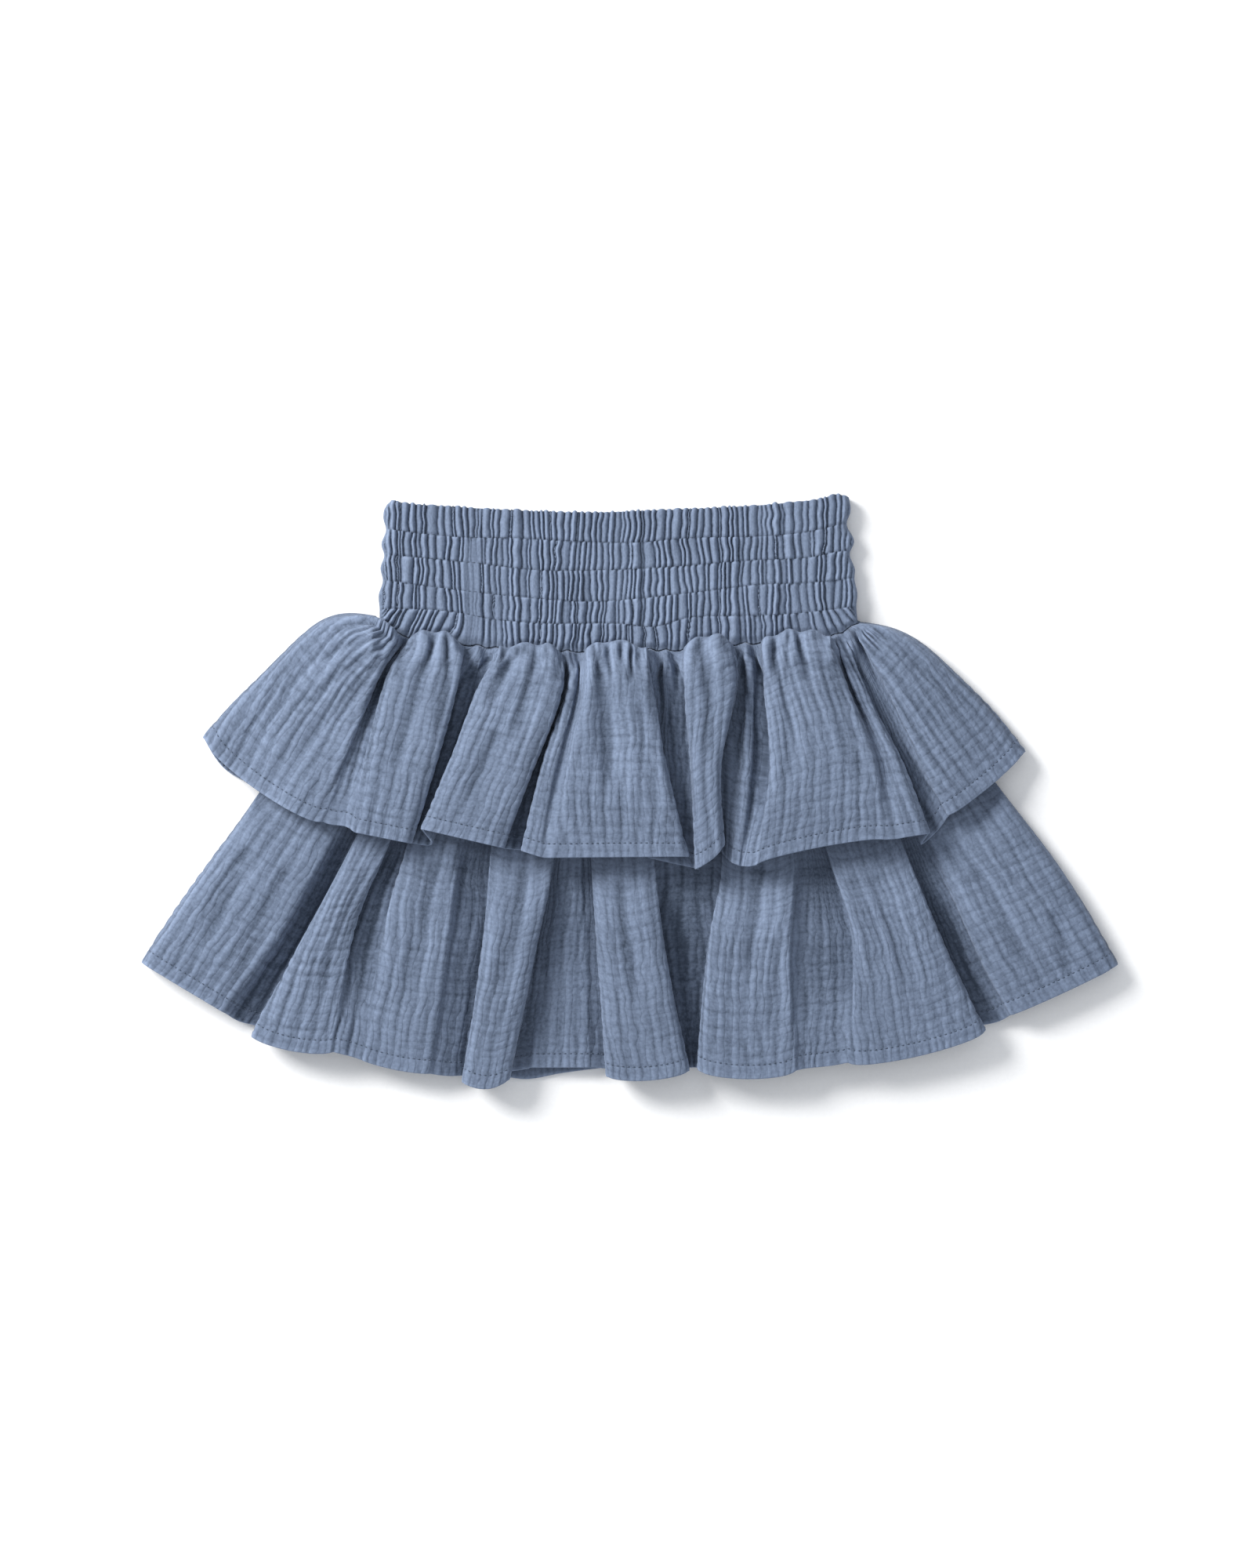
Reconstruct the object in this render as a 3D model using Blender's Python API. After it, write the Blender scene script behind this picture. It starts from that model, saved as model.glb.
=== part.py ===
"""A child's tiered skirt in crinkled double gauze, laid flat with its front up.

A wide shirred waistband carries two gathered layers: a short upper ruffle and a longer
lower tier. Each layer has a front and a back panel, joined at the sides. The back panels
lie flat on the surface, and the front panels stand over them in the folds that the
gathers throw.

Plan sizes are in millimetres: +X to the right, +Y towards the waist, +Z up. The
folds of a panel are rows of a table. A row names the fold's left and right edges at four
places from seam to hem, how high its crest stands and how far its edges roll under.
"""

from collections import namedtuple
from math import radians

import bpy
import numpy as np

MM = 0.001

# Cloth and seams
CLOTH = 1.2             # wall of a ruffle: double gauze with its crinkle
BAND = 2.5              # wall of the waistband: cloth drawn up on elastic
GAP = 0.3               # clearance between two pieces at a seam
REST = 0.6              # clearance under a folded wall that lies on another panel
CENTRE_X = 0.0          # middle of the footprint, which becomes the origin
CENTRE_Y = 0.513

# Heights of the stacked layers at rest
BAND_TOP = 7.0          # outer face of the front waistband, under its pleats
SIDE_TURN = BAND_TOP / 2  # height at which the front and back of the band meet
BAND_ROUND = SIDE_TURN - GAP / 2  # outer radius of the band's rolled sides
SIDE_COVER = 4.8        # top of the lower tier along its own side edge
SEAM_COVER = 5.2        # top of the lower tier at the waist seam
HEM_COVER = 9.6         # top of the lower tier under the upper ruffle's hem
OPEN_RISE = 9.0         # how much higher its folds may stand once they are uncovered

CREASE_ANGLE = 62.0     # degrees: a sharper edge than this is shaded as an edge

# Shirring of the waistband
PLEATS = 82
PLEAT_HEIGHT = 1.0
ROW_PINCH = 0.55        # how far a row of elastic draws the cloth in

# Outline of the waistband: x, y along its lower seam and its upper edge
SEAM_LINE = ((-110, 75), (-98, 68), (-80, 65.5), (-60, 62), (-40, 61), (-20, 61), (0, 61),
             (20, 61.5), (40, 63.5), (60, 64.5), (80, 65.5), (90, 68), (100, 74))
TOP_LINE = ((-103, 126), (-97, 125), (-80, 123.8), (-50, 122), (-20, 121), (10, 122),
            (40, 123.2), (70, 125.5), (85, 127.6), (89, 129), (95, 127.3))
# Its sides between those lines: x at each height, drawn in at every row of elastic
BAND_LEFT = ((75, -110), (79.5, -108.6), (85, -108.8), (91.5, -107), (97, -108), (102.5, -106.4),
             (107, -107.6), (113.5, -105.6), (119, -106.8), (123, -106), (126, -103.5))
BAND_RIGHT = ((74, 100), (80, 98.3), (86, 98.6), (92.5, 97.4), (96, 97.6), (103.5, 95.4),
              (108, 97.2), (116.5, 94), (121, 95.6), (127, 95))
# Height of each row of elastic at the left, middle and right
ELASTIC_ROWS = ((79.3, 72.3, 80.4), (92, 82.8, 93), (103, 96.2, 104.7), (114, 108.4, 117))
ROW_PLACES = (-108, 0, 97)

# A fold: its edges at seam (x), upper, lower and hem (x, y), its crest height at those
# places, how far its edges roll under and how deep the valleys beside it are, at upper,
# lower and hem, where each valley's hem lies (y), how far its hem bows out, how far its
# head pushes the waist seam up, and how much its crest is hollowed.
Fold = namedtuple("Fold", "name left right lift tuck_left tuck_right deep_left deep_right "
                          "hem_left hem_right bow head dip")

UPPER_PLACES = (0.0, 0.33, 0.66, 1.0)
UPPER_FOLDS = (
    Fold("left_fan",
         (-110, (-134, 73), (-161, 49), (-185, 24)), (-98.5, (-111, 47), (-120, 20), (-132, -12.5)),
         (3, 8, 8, 6), (0, 0, 0), (2, 2, -3), (1, 1, 1), (1, 0.8, 0.4), 24, -14, 6, 0, 0),
    Fold("left_inner",
         (-92.5, (-103.5, 50), (-113, 20), (-119, -17)), (-71.5, (-73.5, 45), (-82, 14), (-94, -22)),
         (6.5, 9, 9, 7), (2, 2, -3), (2, 4, 5), (1, 0.8, 0.4), (1, 1, 1), -14, -20, 0, 3, 0),
    Fold("left_middle",
         (-55, (-66, 45), (-77, 16), (-90.5, -15.5)), (-30, (-29, 43), (-41, 10), (-54, -24)),
         (6.5, 9, 10, 9), (2, 4, 9), (2, 4, 1), (1, 1, 1), (1, 1, 1), -25, -24, 0, 2, 0.15),
    Fold("centre_ledge",
         (-26, (-27.3, 43), (-38, 12), (-47, -25)), (-21.5, (-22.3, 43), (-30.5, 14), (-39, -27.5)),
         (0.4, 5, 8, 8.5), (0.5, 2, 3), (0, -1, -2), (1, 1, 1), (0.45, 0.3, 0.05), -25, -28, 0, 0, 0),
    Fold("centre",
         (-17, (-19.5, 43), (-26.5, 14), (-34, -28)), (5, (10.5, 43), (16, 12), (26, -27.5)),
         (8, 10, 10, 9), (-1, -1.5, -2), (2, 9, 30), (0.6, 0.4, 0.1), (1, 1, 1), -28, -26, 0, 4.5, 0.25),
    Fold("right_of_centre",
         (23, (23.3, 43), (26, 12), (27.5, -35)), (44.5, (46.5, 45), (41, 12), (41, -22.5)),
         (8, 10, 10, 9), (2, 2, 3), (2, 3, 3), (1, 1, 1), (1, 1, 1), -36, -25, -2, 4.5, 0.1),
    Fold("valley_rib",
         (49.5, (50, 45), (47.5, 10), (43.5, -30.5)), (52, (53.5, 45), (54, 10), (48, -32)),
         (0.8, 3, 4, 3), (-1, -1, -0.5), (-1, -1, -0.5), (1, 1, 1), (1, 1, 1), -30, -32, 0, 0, 0),
    Fold("right_middle",
         (56.5, (58, 44), (60, 12), (52, -32)), (86, (94.3, 45), (105.5, 14), (110, -20.3)),
         (8, 10, 10, 8), (2, 3, 2), (-0.5, -1.5, -3), (1, 1, 1), (0.9, 0.3, 0.05), -32, -20, -2.5, 5.5, 0.12),
    Fold("right_ledge",
         (88.5, (97, 43.5), (110.5, 13.5), (118, -19.3)), (92, (104.5, 40), (118, 12), (129.5, -17.5)),
         (0.4, 3.5, 8, 8), (-0.8, -2, -3), (0, 2, 5), (0.7, 0.3, 0.05), (1, 1, 1), -20, -25, 0, 0, 0),
    Fold("right_fan",
         (96, (112, 43), (126, 12), (137, -10)), (100, (123, 67), (150, 43), (171.5, 18)),
         (3, 7, 7, 6), (-3, -4, -4), (0, 0, 0), (1, 1, 1), (1, 1, 1), -16, 18, 2, 0, 0),
)

LOWER_PLACES = (0.0, 0.5, 0.74, 1.0)
LOWER_FOLDS = (
    Fold("left_fan",
         (-110, (-166, -8), (-190, -41), (-211.5, -73.5)), (-91, (-127, -20), (-150, -62), (-174, -96)),
         (2, 8, 9, 7), (0, 0, 0), (-4, -5, -6), (1, 1, 1), (1, 1, 1), -74, -100, 0, 0, 0),
    Fold("left_outer",
         (-84, (-120, -22), (-142, -64), (-164, -105)), (-75, (-105, -25), (-119, -60), (-128, -112)),
         (2, 9, 11, 9), (1.5, 4, 5), (1, 1, -4), (1, 1, 1), (1, 0.8, 0.2), -101, -113, 3.5, 0, 0),
    Fold("left_inner",
         (-69, (-97, -24), (-107, -62), (-116, -115.5)), (-54, (-74, -27), (-78, -67), (-86, -121.5)),
         (2, 7, 8, 7), (1, 0, -4), (-3, -5, -6), (1, 0.8, 0.25), (1, 1, 1), -114, -123, 1.5, 0, 0),
    Fold("left_of_centre",
         (-48, (-60.5, -28), (-64, -68), (-73, -125)), (-33, (-32.5, -30), (-40, -68), (-51.5, -124)),
         (2, 10, 13, 11), (1.5, 5, 5), (1.5, 4, 4), (1, 1, 1), (1, 1, 1), -122, -121, 4, 0, 0.1),
    Fold("valley_rib",
         (-27.5, (-27.5, -30), (-32, -68), (-38, -119)), (-24, (-22.5, -30), (-22, -68), (-22, -119)),
         (1, 3, 4, 4), (-1, -2, -3), (-1, -2, -3), (1, 1, 1), (1, 1, 1), -119.5, -119.5, 0, 0, 0),
    Fold("centre",
         (-18, (-17, -32), (-14.3, -70), (-10.5, -122.5)), (4, (11, -33), (16, -70), (26, -120)),
         (2, 10, 13, 11), (1.5, 5, 4), (1.5, 4, 3), (1, 1, 1), (1, 1, 1), -120, -119, 3.5, 0, 0.1),
    Fold("right_of_centre",
         (28, (39.5, -33), (33.5, -67), (29, -119.5)), (54, (71, -30), (70, -68), (72, -120)),
         (2, 10, 13, 11), (1.5, 4, 3), (-3, -3, -3), (1, 1, 1), (0.8, 0.7, 0.3), -119, -119, 4.5, 0, 0.15),
    Fold("right_inner",
         (60, (86, -29), (96, -64), (94, -116.5)), (84, (122, -32), (139, -72), (154, -102.5)),
         (2, 9, 12, 10), (1.5, 1, -6), (1.5, 5, 5), (1, 0.8, 0.25), (1, 1, 1), -118, -101, 5, 0, 0.1),
    Fold("right_fan",
         (91, (131, -25), (149, -66), (164, -96.5)), (100, (164, -3), (189, -36), (211.5, -74.5)),
         (2, 7, 8, 7), (-4, -5, -5), (0, 0, 0), (1, 1, 1), (1, 1, 1), -100, -75, 1, 0, 0),
)

# Hem lines, x and y: the lowest reach of the upper front, and the two back hems
UPPER_HEM = ((-185, 34), (-162, 2), (-130, -14), (-95, -24), (-60, -28), (0, -30), (26, -38),
             (60, -34), (100, -24), (130, -25), (158, 3), (172, 24))
UPPER_BACK_HEM = ((-184, 23), (-176, 11), (-160, 2), (-130, -10), (-95, -18), (-50, -21), (0, -23),
                  (50, -22), (100, -16), (130, -10), (150, 1), (166, 13), (170.5, 18))
LOWER_BACK_HEM = ((-211, -73.5), (-203, -77.5), (-190, -84), (-165, -96), (-130, -107), (-90, -116),
                  (-62, -121), (-45, -124), (-30, -121.5), (0, -118), (60, -117), (100, -112),
                  (140, -104), (165, -94), (190, -84), (206, -78), (211, -74.5))
# The lower tier's straight side edges, from waist corner to hem tip
LEFT_SIDE = ((-110, 75), (-211.5, -74))
RIGHT_SIDE = ((100, 74.5), (211.5, -75))
STEP_START = 5.0        # from the upper back hem to where the lower back panel steps down
STEP_WIDTH = 9.0        # over which it comes down

COLUMN_STEP = 12.0      # widest spacing of a panel's columns at its hem
THINNING_STEPS = 12     # see wall_below
THINNEST = 0.4
KEPT_ORDER = 0.35
LEAST_MITRE = 0.5

# Colours of the cloth
SLATE_BLUE = (0.195, 0.275, 0.42, 1.0)
SLATE_BAND = (0.18, 0.26, 0.40, 1.0)

# Rows from seam to hem, closer together at the gathered head
UPPER_ROWS = (0, 0.02, 0.045, 0.08, 0.13, 0.2, 0.29, 0.4, 0.51, 0.62, 0.74, 0.87, 1)
LOWER_ROWS = (0, 0.08, 0.2, 0.32, 0.42, 0.49, 0.56, 0.64, 0.72, 0.81, 0.9, 1)
HEAD_END = 0.15         # share of the upper ruffle's length that its rounded head takes
UPPER_ROLL = 0.14       # share of each panel's length from which its fold edges roll under
LOWER_ROLL = 0.38
SOFT_START = -0.8       # before that a fold's side slopes outwards by this much
EDGE_LOW = 0.68         # the steep part of a fold's side, as shares of its valley's depth
EDGE_HIGH = 0.22
SHOULDER = 0.24         # from a fold's edge to its shoulder, as a share of its width
WIDEST_SHOULDER = 6.0
SHOULDER_LIFT = 0.98    # height of the shoulder, as a share of the crest's


def smooth(t):
    """Ease from 0 to 1 as t goes from 0 to 1, flat at both ends."""
    t = np.clip(t, 0.0, 1.0)
    return t * t * (3.0 - 2.0 * t)


def through(places, values, at):
    """A smooth curve through values given at places, read off at the numbers in `at`.

    Between two places it is a cubic whose slope at each is that of the parabola through
    its neighbours. Values may be numbers or points.
    """
    places = np.asarray(places, float)
    values = np.asarray(values, float)
    at = np.clip(np.asarray(at, float), places[0], places[-1])
    flat = values.reshape(len(places), -1)
    step = np.diff(places)[:, None]
    rise = np.diff(flat, axis=0) / step
    slope = np.empty_like(flat)
    slope[1:-1] = (rise[:-1] * step[1:] + rise[1:] * step[:-1]) / (step[:-1] + step[1:])
    slope[0] = 1.5 * rise[0] - 0.5 * slope[1]
    slope[-1] = 1.5 * rise[-1] - 0.5 * slope[-2]
    i = np.clip(np.searchsorted(places, at, side="right") - 1, 0, len(places) - 2)
    h = step[i]
    t = ((at - places[i]) / h[:, 0])[:, None]
    curve = ((2 * t ** 3 - 3 * t ** 2 + 1) * flat[i] + (t ** 3 - 2 * t ** 2 + t) * h * slope[i]
             + (3 * t ** 2 - 2 * t ** 3) * flat[i + 1] + (t ** 3 - t ** 2) * h * slope[i + 1])
    return curve.reshape((len(at),) + values.shape[1:])


def eased(places, values, at):
    """Values at places, joined by eases, so that none between them overshoots."""
    places = np.asarray(places, float)
    values = np.asarray(values, float)
    i = np.clip(np.searchsorted(places, at, side="right") - 1, 0, len(places) - 2)
    share = (at - places[i]) / (places[i + 1] - places[i])
    return values[i] + (values[i + 1] - values[i]) * smooth(share)


def line_at(line, x):
    """Height y of a plan line, given as (x, y) points, above each x."""
    x = np.asarray(x, float)
    xs, ys = np.transpose(line)
    return through(xs, ys, x.ravel()).reshape(x.shape)


def seam_at(x):
    """Waist seam: its smooth line, pushed up by the round head of each large fold."""
    y = line_at(SEAM_LINE, x)
    for fold in UPPER_FOLDS:
        left, right = fold.left[0], fold.right[0]
        ease = 0.3 * (right - left)
        y = y + fold.head * smooth((x - left) / ease) * smooth((right - x) / ease)
    return y


def side_depth(x, y):
    """How far a plan point lies inside the lower tier's two straight side edges."""
    (ax, ay), (bx, by) = LEFT_SIDE
    (cx, cy), (dx, dy) = RIGHT_SIDE
    left = ((x - ax) * (ay - by) - (y - ay) * (ax - bx)) / np.hypot(ax - bx, ay - by)
    right = ((y - cy) * (cx - dx) - (x - cx) * (cy - dy)) / np.hypot(cx - dx, cy - dy)
    return np.minimum(left, right)


def lower_back_base(x, y):
    """Underside of the lower back panel: on the upper back ruffle, then down beside it."""
    beyond = line_at(UPPER_BACK_HEM, x) - STEP_START - y
    return (CLOTH + GAP) * (1.0 - smooth(beyond / STEP_WIDTH))


def cover(x, y):
    """Height that the covered folds of the lower tier stay under, and the ruffle lies on."""
    inside = side_depth(x, y)
    middle = SEAM_COVER + (HEM_COVER - SEAM_COVER) * smooth((66.0 - y) / 80.0)
    inner = SIDE_COVER + (middle - SIDE_COVER) * smooth(inside / 18.0)
    outer = CLOTH + (SIDE_COVER - CLOTH) * smooth((inside + 16.0) / 16.0)
    return np.where(inside > 0.0, inner, outer)


def upper_floor(x, y):
    """Outer face of the upper ruffle in the bottom of its valleys."""
    return cover(x, y) + REST + CLOTH


def lower_floor(x, y):
    """Outer face of the lower tier in the bottom of its valleys, on the back panel."""
    return lower_back_base(x, y) + CLOTH + REST + CLOTH


def lower_room(x, y):
    """Height that the lower tier's folds have over their valleys: little while covered."""
    opened = smooth((line_at(UPPER_HEM, x) - 2.0 - y) / 30.0)
    return np.maximum(cover(x, y) - lower_floor(x, y), 0.3) + OPEN_RISE * opened


def plain_seam(x):
    """Waist seam of the panels under the upper ruffle."""
    return line_at(SEAM_LINE, x)


def edge_path(edge, places, rows, seam_line=plain_seam):
    """Plan path of a fold's edge: from its place on the seam through its three points."""
    seam = (edge[0], float(seam_line(edge[0])) - GAP)
    return through(places, (seam,) + tuple(edge[1:]), rows)


def fold_rails(fold, places, rows, roll_from, seam_line, first, last):
    """Control rails across one fold, each a plan path and a height above the valley.

    From the left: the valley, the edge's lower and upper part, the shoulder, the crest,
    and the same again down the right side. The outermost edges of a panel have no valley.
    """
    left = edge_path(fold.left, places, rows, seam_line)
    right = edge_path(fold.right, places, rows, seam_line)
    width = np.linalg.norm(right - left, axis=1)[:, None]
    across = (right - left) / width
    down = np.stack([across[:, 1], -across[:, 0]], axis=1)
    to_hem = smooth((rows - 0.5) / 0.5)[:, None]
    lift = eased(places, fold.lift, rows)[:, None]
    roll_places = (0.0, roll_from) + tuple(places[1:])
    middle = (left + right) / 2 + down * fold.bow * to_hem
    shoulder = np.minimum(SHOULDER * width, WIDEST_SHOULDER)
    rails = []
    sides = ((left, across, fold.tuck_left, fold.deep_left, fold.hem_left, first),
             (right, -across, fold.tuck_right, fold.deep_right, fold.hem_right, last))
    for edge, inward, tuck, deep, hem_y, is_end in sides:
        top = edge + inward * shoulder + down * fold.bow * 0.6 * to_hem
        if is_end:
            side = [(edge, 0.0 * lift),
                    (edge + inward * 0.5, 0.3 * lift),
                    (edge + inward * shoulder * 0.6, 0.72 * lift),
                    (top + inward * shoulder * 0.5, 0.92 * lift)]
        else:
            roll = eased(roll_places, (SOFT_START, SOFT_START) + tuple(tuck), rows)[:, None]
            depth = eased(places, (deep[0],) + tuple(deep), rows)[:, None]
            foot = edge + inward * roll
            foot[:, 1] += (hem_y - foot[-1, 1]) * smooth((rows - 0.7) / 0.3)
            side = [(foot, lift * (1.0 - depth)),
                    (edge, lift * (1.0 - EDGE_LOW * depth)),
                    (edge, lift * (1.0 - EDGE_HIGH * depth)),
                    (top, SHOULDER_LIFT * lift)]
        rails.append(side)
    crest = [(middle, lift * (1.0 - fold.dip))]
    return rails[0] + crest + rails[1][::-1]


def spline_across(control, counts):
    """Cubic B-spline through the rails, with counts[i] steps from rail i to rail i + 1.

    The spline stays within its control rails, so cloth never dips below its valleys.
    """
    padded = np.concatenate([2 * control[:1] - control[1:2], control, 2 * control[-1:] - control[-2:-1]])
    rows = []
    for i, count in enumerate(counts):
        for k in range(count):
            t = k / count
            a, b, c, d = padded[i:i + 4]
            rows.append(((1 - t) ** 3 * a + (3 * t ** 3 - 6 * t ** 2 + 4) * b
                         + (-3 * t ** 3 + 3 * t ** 2 + 3 * t + 1) * c + t ** 3 * d) / 6)
    rows.append(control[-1])
    return np.array(rows)


def folded_panel(folds, places, rows, roll_from, seam_line, floor, room=None):
    """Outer points of a gathered panel, as a grid of columns across and rows down."""
    rows = np.asarray(rows, float)
    head_share = np.clip(rows / HEAD_END, 0.0, 1.0)
    rise = 0.08 + 0.92 * np.sin(np.pi / 2 * head_share ** 0.8)
    rails = []
    for i, fold in enumerate(folds):
        ends = (i == 0, i == len(folds) - 1)
        for path, height in fold_rails(fold, places, rows, roll_from, seam_line, *ends):
            rails.append(np.concatenate([path, height * rise[:, None]], axis=1))
    control = np.array(rails)
    spread = np.linalg.norm(np.diff(control[:, -1, :2], axis=0), axis=1)
    counts = np.clip(np.round(spread / COLUMN_STEP), 1, 3).astype(int)
    x, y, height = np.moveaxis(spline_across(control, counts), 2, 0)
    off_seam = y[:, :1] - (seam_line(x[:, :1]) - GAP)
    y = y - off_seam * (1.0 - smooth(rows / HEAD_END))
    if room is not None:
        limit = room(x, y)
        height = limit * np.tanh(height / limit)
    return np.stack([x, y, floor(x, y) + height], axis=2)


def unit(vectors):
    """The same directions with length 1."""
    return vectors / np.maximum(np.linalg.norm(vectors, axis=-1), 1e-9)[..., None]


def tangents(points, axis):
    """Direction of the grid lines at each point: midway between the steps to and from it."""
    step = unit(np.diff(points, axis=axis))
    first = np.take(step, (0,), axis=axis)
    last = np.take(step, (-1,), axis=axis)
    return unit(np.concatenate([first, step], axis=axis) + np.concatenate([step, last], axis=axis))


def wall_below(outer, wall):
    """Inner points of a wall: each outer point moved along the surface's normal.

    In the bottom of a fold the inside runs round a corner, so it goes a little further,
    as a mitre does. Where the cloth turns too tightly for its full wall, the wall is
    thinned step by step until neighbouring inner points keep the order of the outer ones.
    """
    normal = unit(np.cross(tangents(outer, 1), tangents(outer, 0)))
    before = unit(outer[1:-1] - outer[:-2])
    after = unit(outer[2:] - outer[1:-1])
    half_turn = np.sqrt(np.clip((1.0 + (before * after).sum(2)) / 2.0, 0.0, 1.0))
    hollow = ((after - before) * normal[1:-1]).sum(2) > 0.0
    thick = np.full(outer.shape[:2], wall)
    thick[1:-1] *= np.where(hollow, 1.0 / np.maximum(half_turn, LEAST_MITRE), 1.0)
    for _ in range(THINNING_STEPS):
        inner = outer - normal * thick[:, :, None]
        factor = np.ones_like(thick)
        for axis in (0, 1):
            step_out = np.diff(outer, axis=axis)
            kept = (step_out * np.diff(inner, axis=axis)).sum(2) / (step_out ** 2).sum(2)
            thin = np.where(kept < KEPT_ORDER, 0.87, 1.0)
            ahead = np.ones_like(thick)
            behind = np.ones_like(thick)
            if axis == 0:
                ahead[:-1] = thin
                behind[1:] = thin
            else:
                ahead[:, :-1] = thin
                behind[:, 1:] = thin
            factor = np.minimum(factor, np.minimum(ahead, behind))
        thick = np.maximum(thick * factor, THINNEST)
    return outer - normal * thick[:, :, None]


def closed_shell(name, outer, inner, material):
    """One closed body from a grid of outer points and one of inner points.

    The inner grid may hold only the first and last rows, where the inside is plain.
    """
    columns, rows = outer.shape[:2]
    inner_rows = inner.shape[1]
    points = np.concatenate([outer.reshape(-1, 3), inner.reshape(-1, 3)])
    top = np.arange(columns * rows).reshape(columns, rows)
    under = columns * rows + np.arange(columns * inner_rows).reshape(columns, inner_rows)
    faces = []
    for i in range(columns - 1):
        for j in range(rows - 1):
            faces.append((top[i, j], top[i, j + 1], top[i + 1, j + 1], top[i + 1, j]))
        for j in range(inner_rows - 1):
            faces.append((under[i, j], under[i + 1, j], under[i + 1, j + 1], under[i, j + 1]))
        faces.append((top[i, 0], top[i + 1, 0], under[i + 1, 0], under[i, 0]))
        faces.append((top[i + 1, -1], top[i, -1], under[i, -1], under[i + 1, -1]))
    if inner_rows == rows:
        for j in range(rows - 1):
            faces.append((top[0, j + 1], top[0, j], under[0, j], under[0, j + 1]))
            faces.append((top[-1, j], top[-1, j + 1], under[-1, j + 1], under[-1, j]))
    else:
        faces.append(tuple(top[0, ::-1]) + (under[0, 0], under[0, -1]))
        faces.append(tuple(top[-1]) + (under[-1, -1], under[-1, 0]))
    return finish(name, points, faces, material)


def finish(name, points, faces, material):
    """Make the object, in metres about the origin, smooth and with its material."""
    points = (np.asarray(points) - (CENTRE_X, CENTRE_Y, 0.0)) * MM
    mesh = bpy.data.meshes.new(name)
    mesh.from_pydata(points.tolist(), [], [tuple(int(k) for k in face) for face in faces])
    mesh.shade_smooth()
    mesh.set_sharp_from_angle(angle=radians(CREASE_ANGLE))
    mesh.materials.append(material)
    piece = bpy.data.objects.new(name, mesh)
    bpy.context.collection.objects.link(piece)
    return piece


def cloth_material(name, colour, roughness):
    """A plain woven cloth."""
    material = bpy.data.materials.new(name)
    material.use_nodes = True
    shader = material.node_tree.nodes["Principled BSDF"]
    shader.inputs["Base Color"].default_value = colour
    shader.inputs["Roughness"].default_value = roughness
    shader.inputs["Metallic"].default_value = 0.0
    return material


def fan_rows(folds, places, hem, across, down):
    """Plan grid of a flat back panel, from the seam to its hem between two side edges.

    Each column is the straight line from its place on the seam to its place on the hem,
    bent near the sides to follow the side edges of the front panel.
    """
    ends = (edge_path(folds[0].left, places, down), edge_path(folds[-1].right, places, down))
    seam_x = np.interp(across, (0, 1), (folds[0].left[0], folds[-1].right[0]))
    seam = np.stack([seam_x, plain_seam(seam_x) - GAP], axis=1)
    hem = np.asarray(hem, float)
    length = np.concatenate([[0.0], np.cumsum(np.linalg.norm(np.diff(hem, axis=0), axis=1))])
    hem_points = through(length / length[-1], hem, across)
    grid = seam[:, None] * (1 - down)[None, :, None] + hem_points[:, None] * down[None, :, None]
    for edge, share in ((ends[0], (1 - across) ** 3), (ends[1], across ** 3)):
        column = 0 if edge is ends[0] else -1
        bend = edge - (seam[column] * (1 - down)[:, None] + edge[-1] * down[:, None])
        grid = grid + bend[None] * share[:, None, None]
    return grid


def make_upper_back(material):
    """The back of the upper ruffle: it lies flat on the surface under everything."""
    across = np.linspace(0, 1, 25)
    down = np.linspace(0, 1, 7)
    grid = fan_rows(UPPER_FOLDS, UPPER_PLACES, UPPER_BACK_HEM, across, down)
    base = np.concatenate([grid, np.zeros(grid.shape[:2] + (1,))], axis=2)
    return closed_shell("upper_ruffle_back", base + (0, 0, CLOTH), base, material)


def make_lower_back(material):
    """The back of the lower tier: on the upper back ruffle, then flat on the surface."""
    across = np.linspace(0, 1, 25)
    down = np.array([0, 0.25, 0.44, 0.48, 0.51, 0.54, 0.57, 0.62, 0.7, 1])
    grid = fan_rows(LOWER_FOLDS, LOWER_PLACES, LOWER_BACK_HEM, across, down)
    height = lower_back_base(grid[:, :, 0], grid[:, :, 1])
    base = np.concatenate([grid, height[:, :, None]], axis=2)
    return closed_shell("lower_tier_back", base + (0, 0, CLOTH), base, material)


def make_tier_front(name, folds, places, rows, roll_from, seam_line, floor, room, material):
    """A gathered front panel: folded outer face, and an even wall under it."""
    outer = folded_panel(folds, places, rows, roll_from, seam_line, floor, room)
    return closed_shell(name, outer, wall_below(outer, CLOTH), material)


def band_lines(seam_line):
    """The waistband's cross lines from seam to top: each row of elastic, and midway."""
    places = np.linspace(-110, 100, 106)
    rows = [seam_line(places)]
    rows += [through(ROW_PLACES, heights, places) for heights in ELASTIC_ROWS]
    rows.append(line_at(TOP_LINE, places))
    lines = []
    for i, row in enumerate(rows):
        if i:
            lines.append((places, (rows[i - 1] + row) / 2, 1.0))
        pinched = 0.0 if 0 < i < len(rows) - 1 else 0.6
        lines.append((places, row, pinched))
    return lines


def band_columns(front):
    """Shares of the band's width at which its columns stand, and the pleat at each."""
    if not front:
        return np.linspace(0, 1, 22), np.zeros(22)
    share = np.linspace(0, 1, 2 * PLEATS + 1)
    wander = 0.0018 * np.sin(41.0 * share) + 0.0012 * np.sin(97.0 * share + 1.0)
    ridge = np.tile((0.0, 1.0), PLEATS + 1)[:2 * PLEATS + 1]
    return share + wander * np.sin(np.pi * share) ** 0.5, ridge


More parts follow.
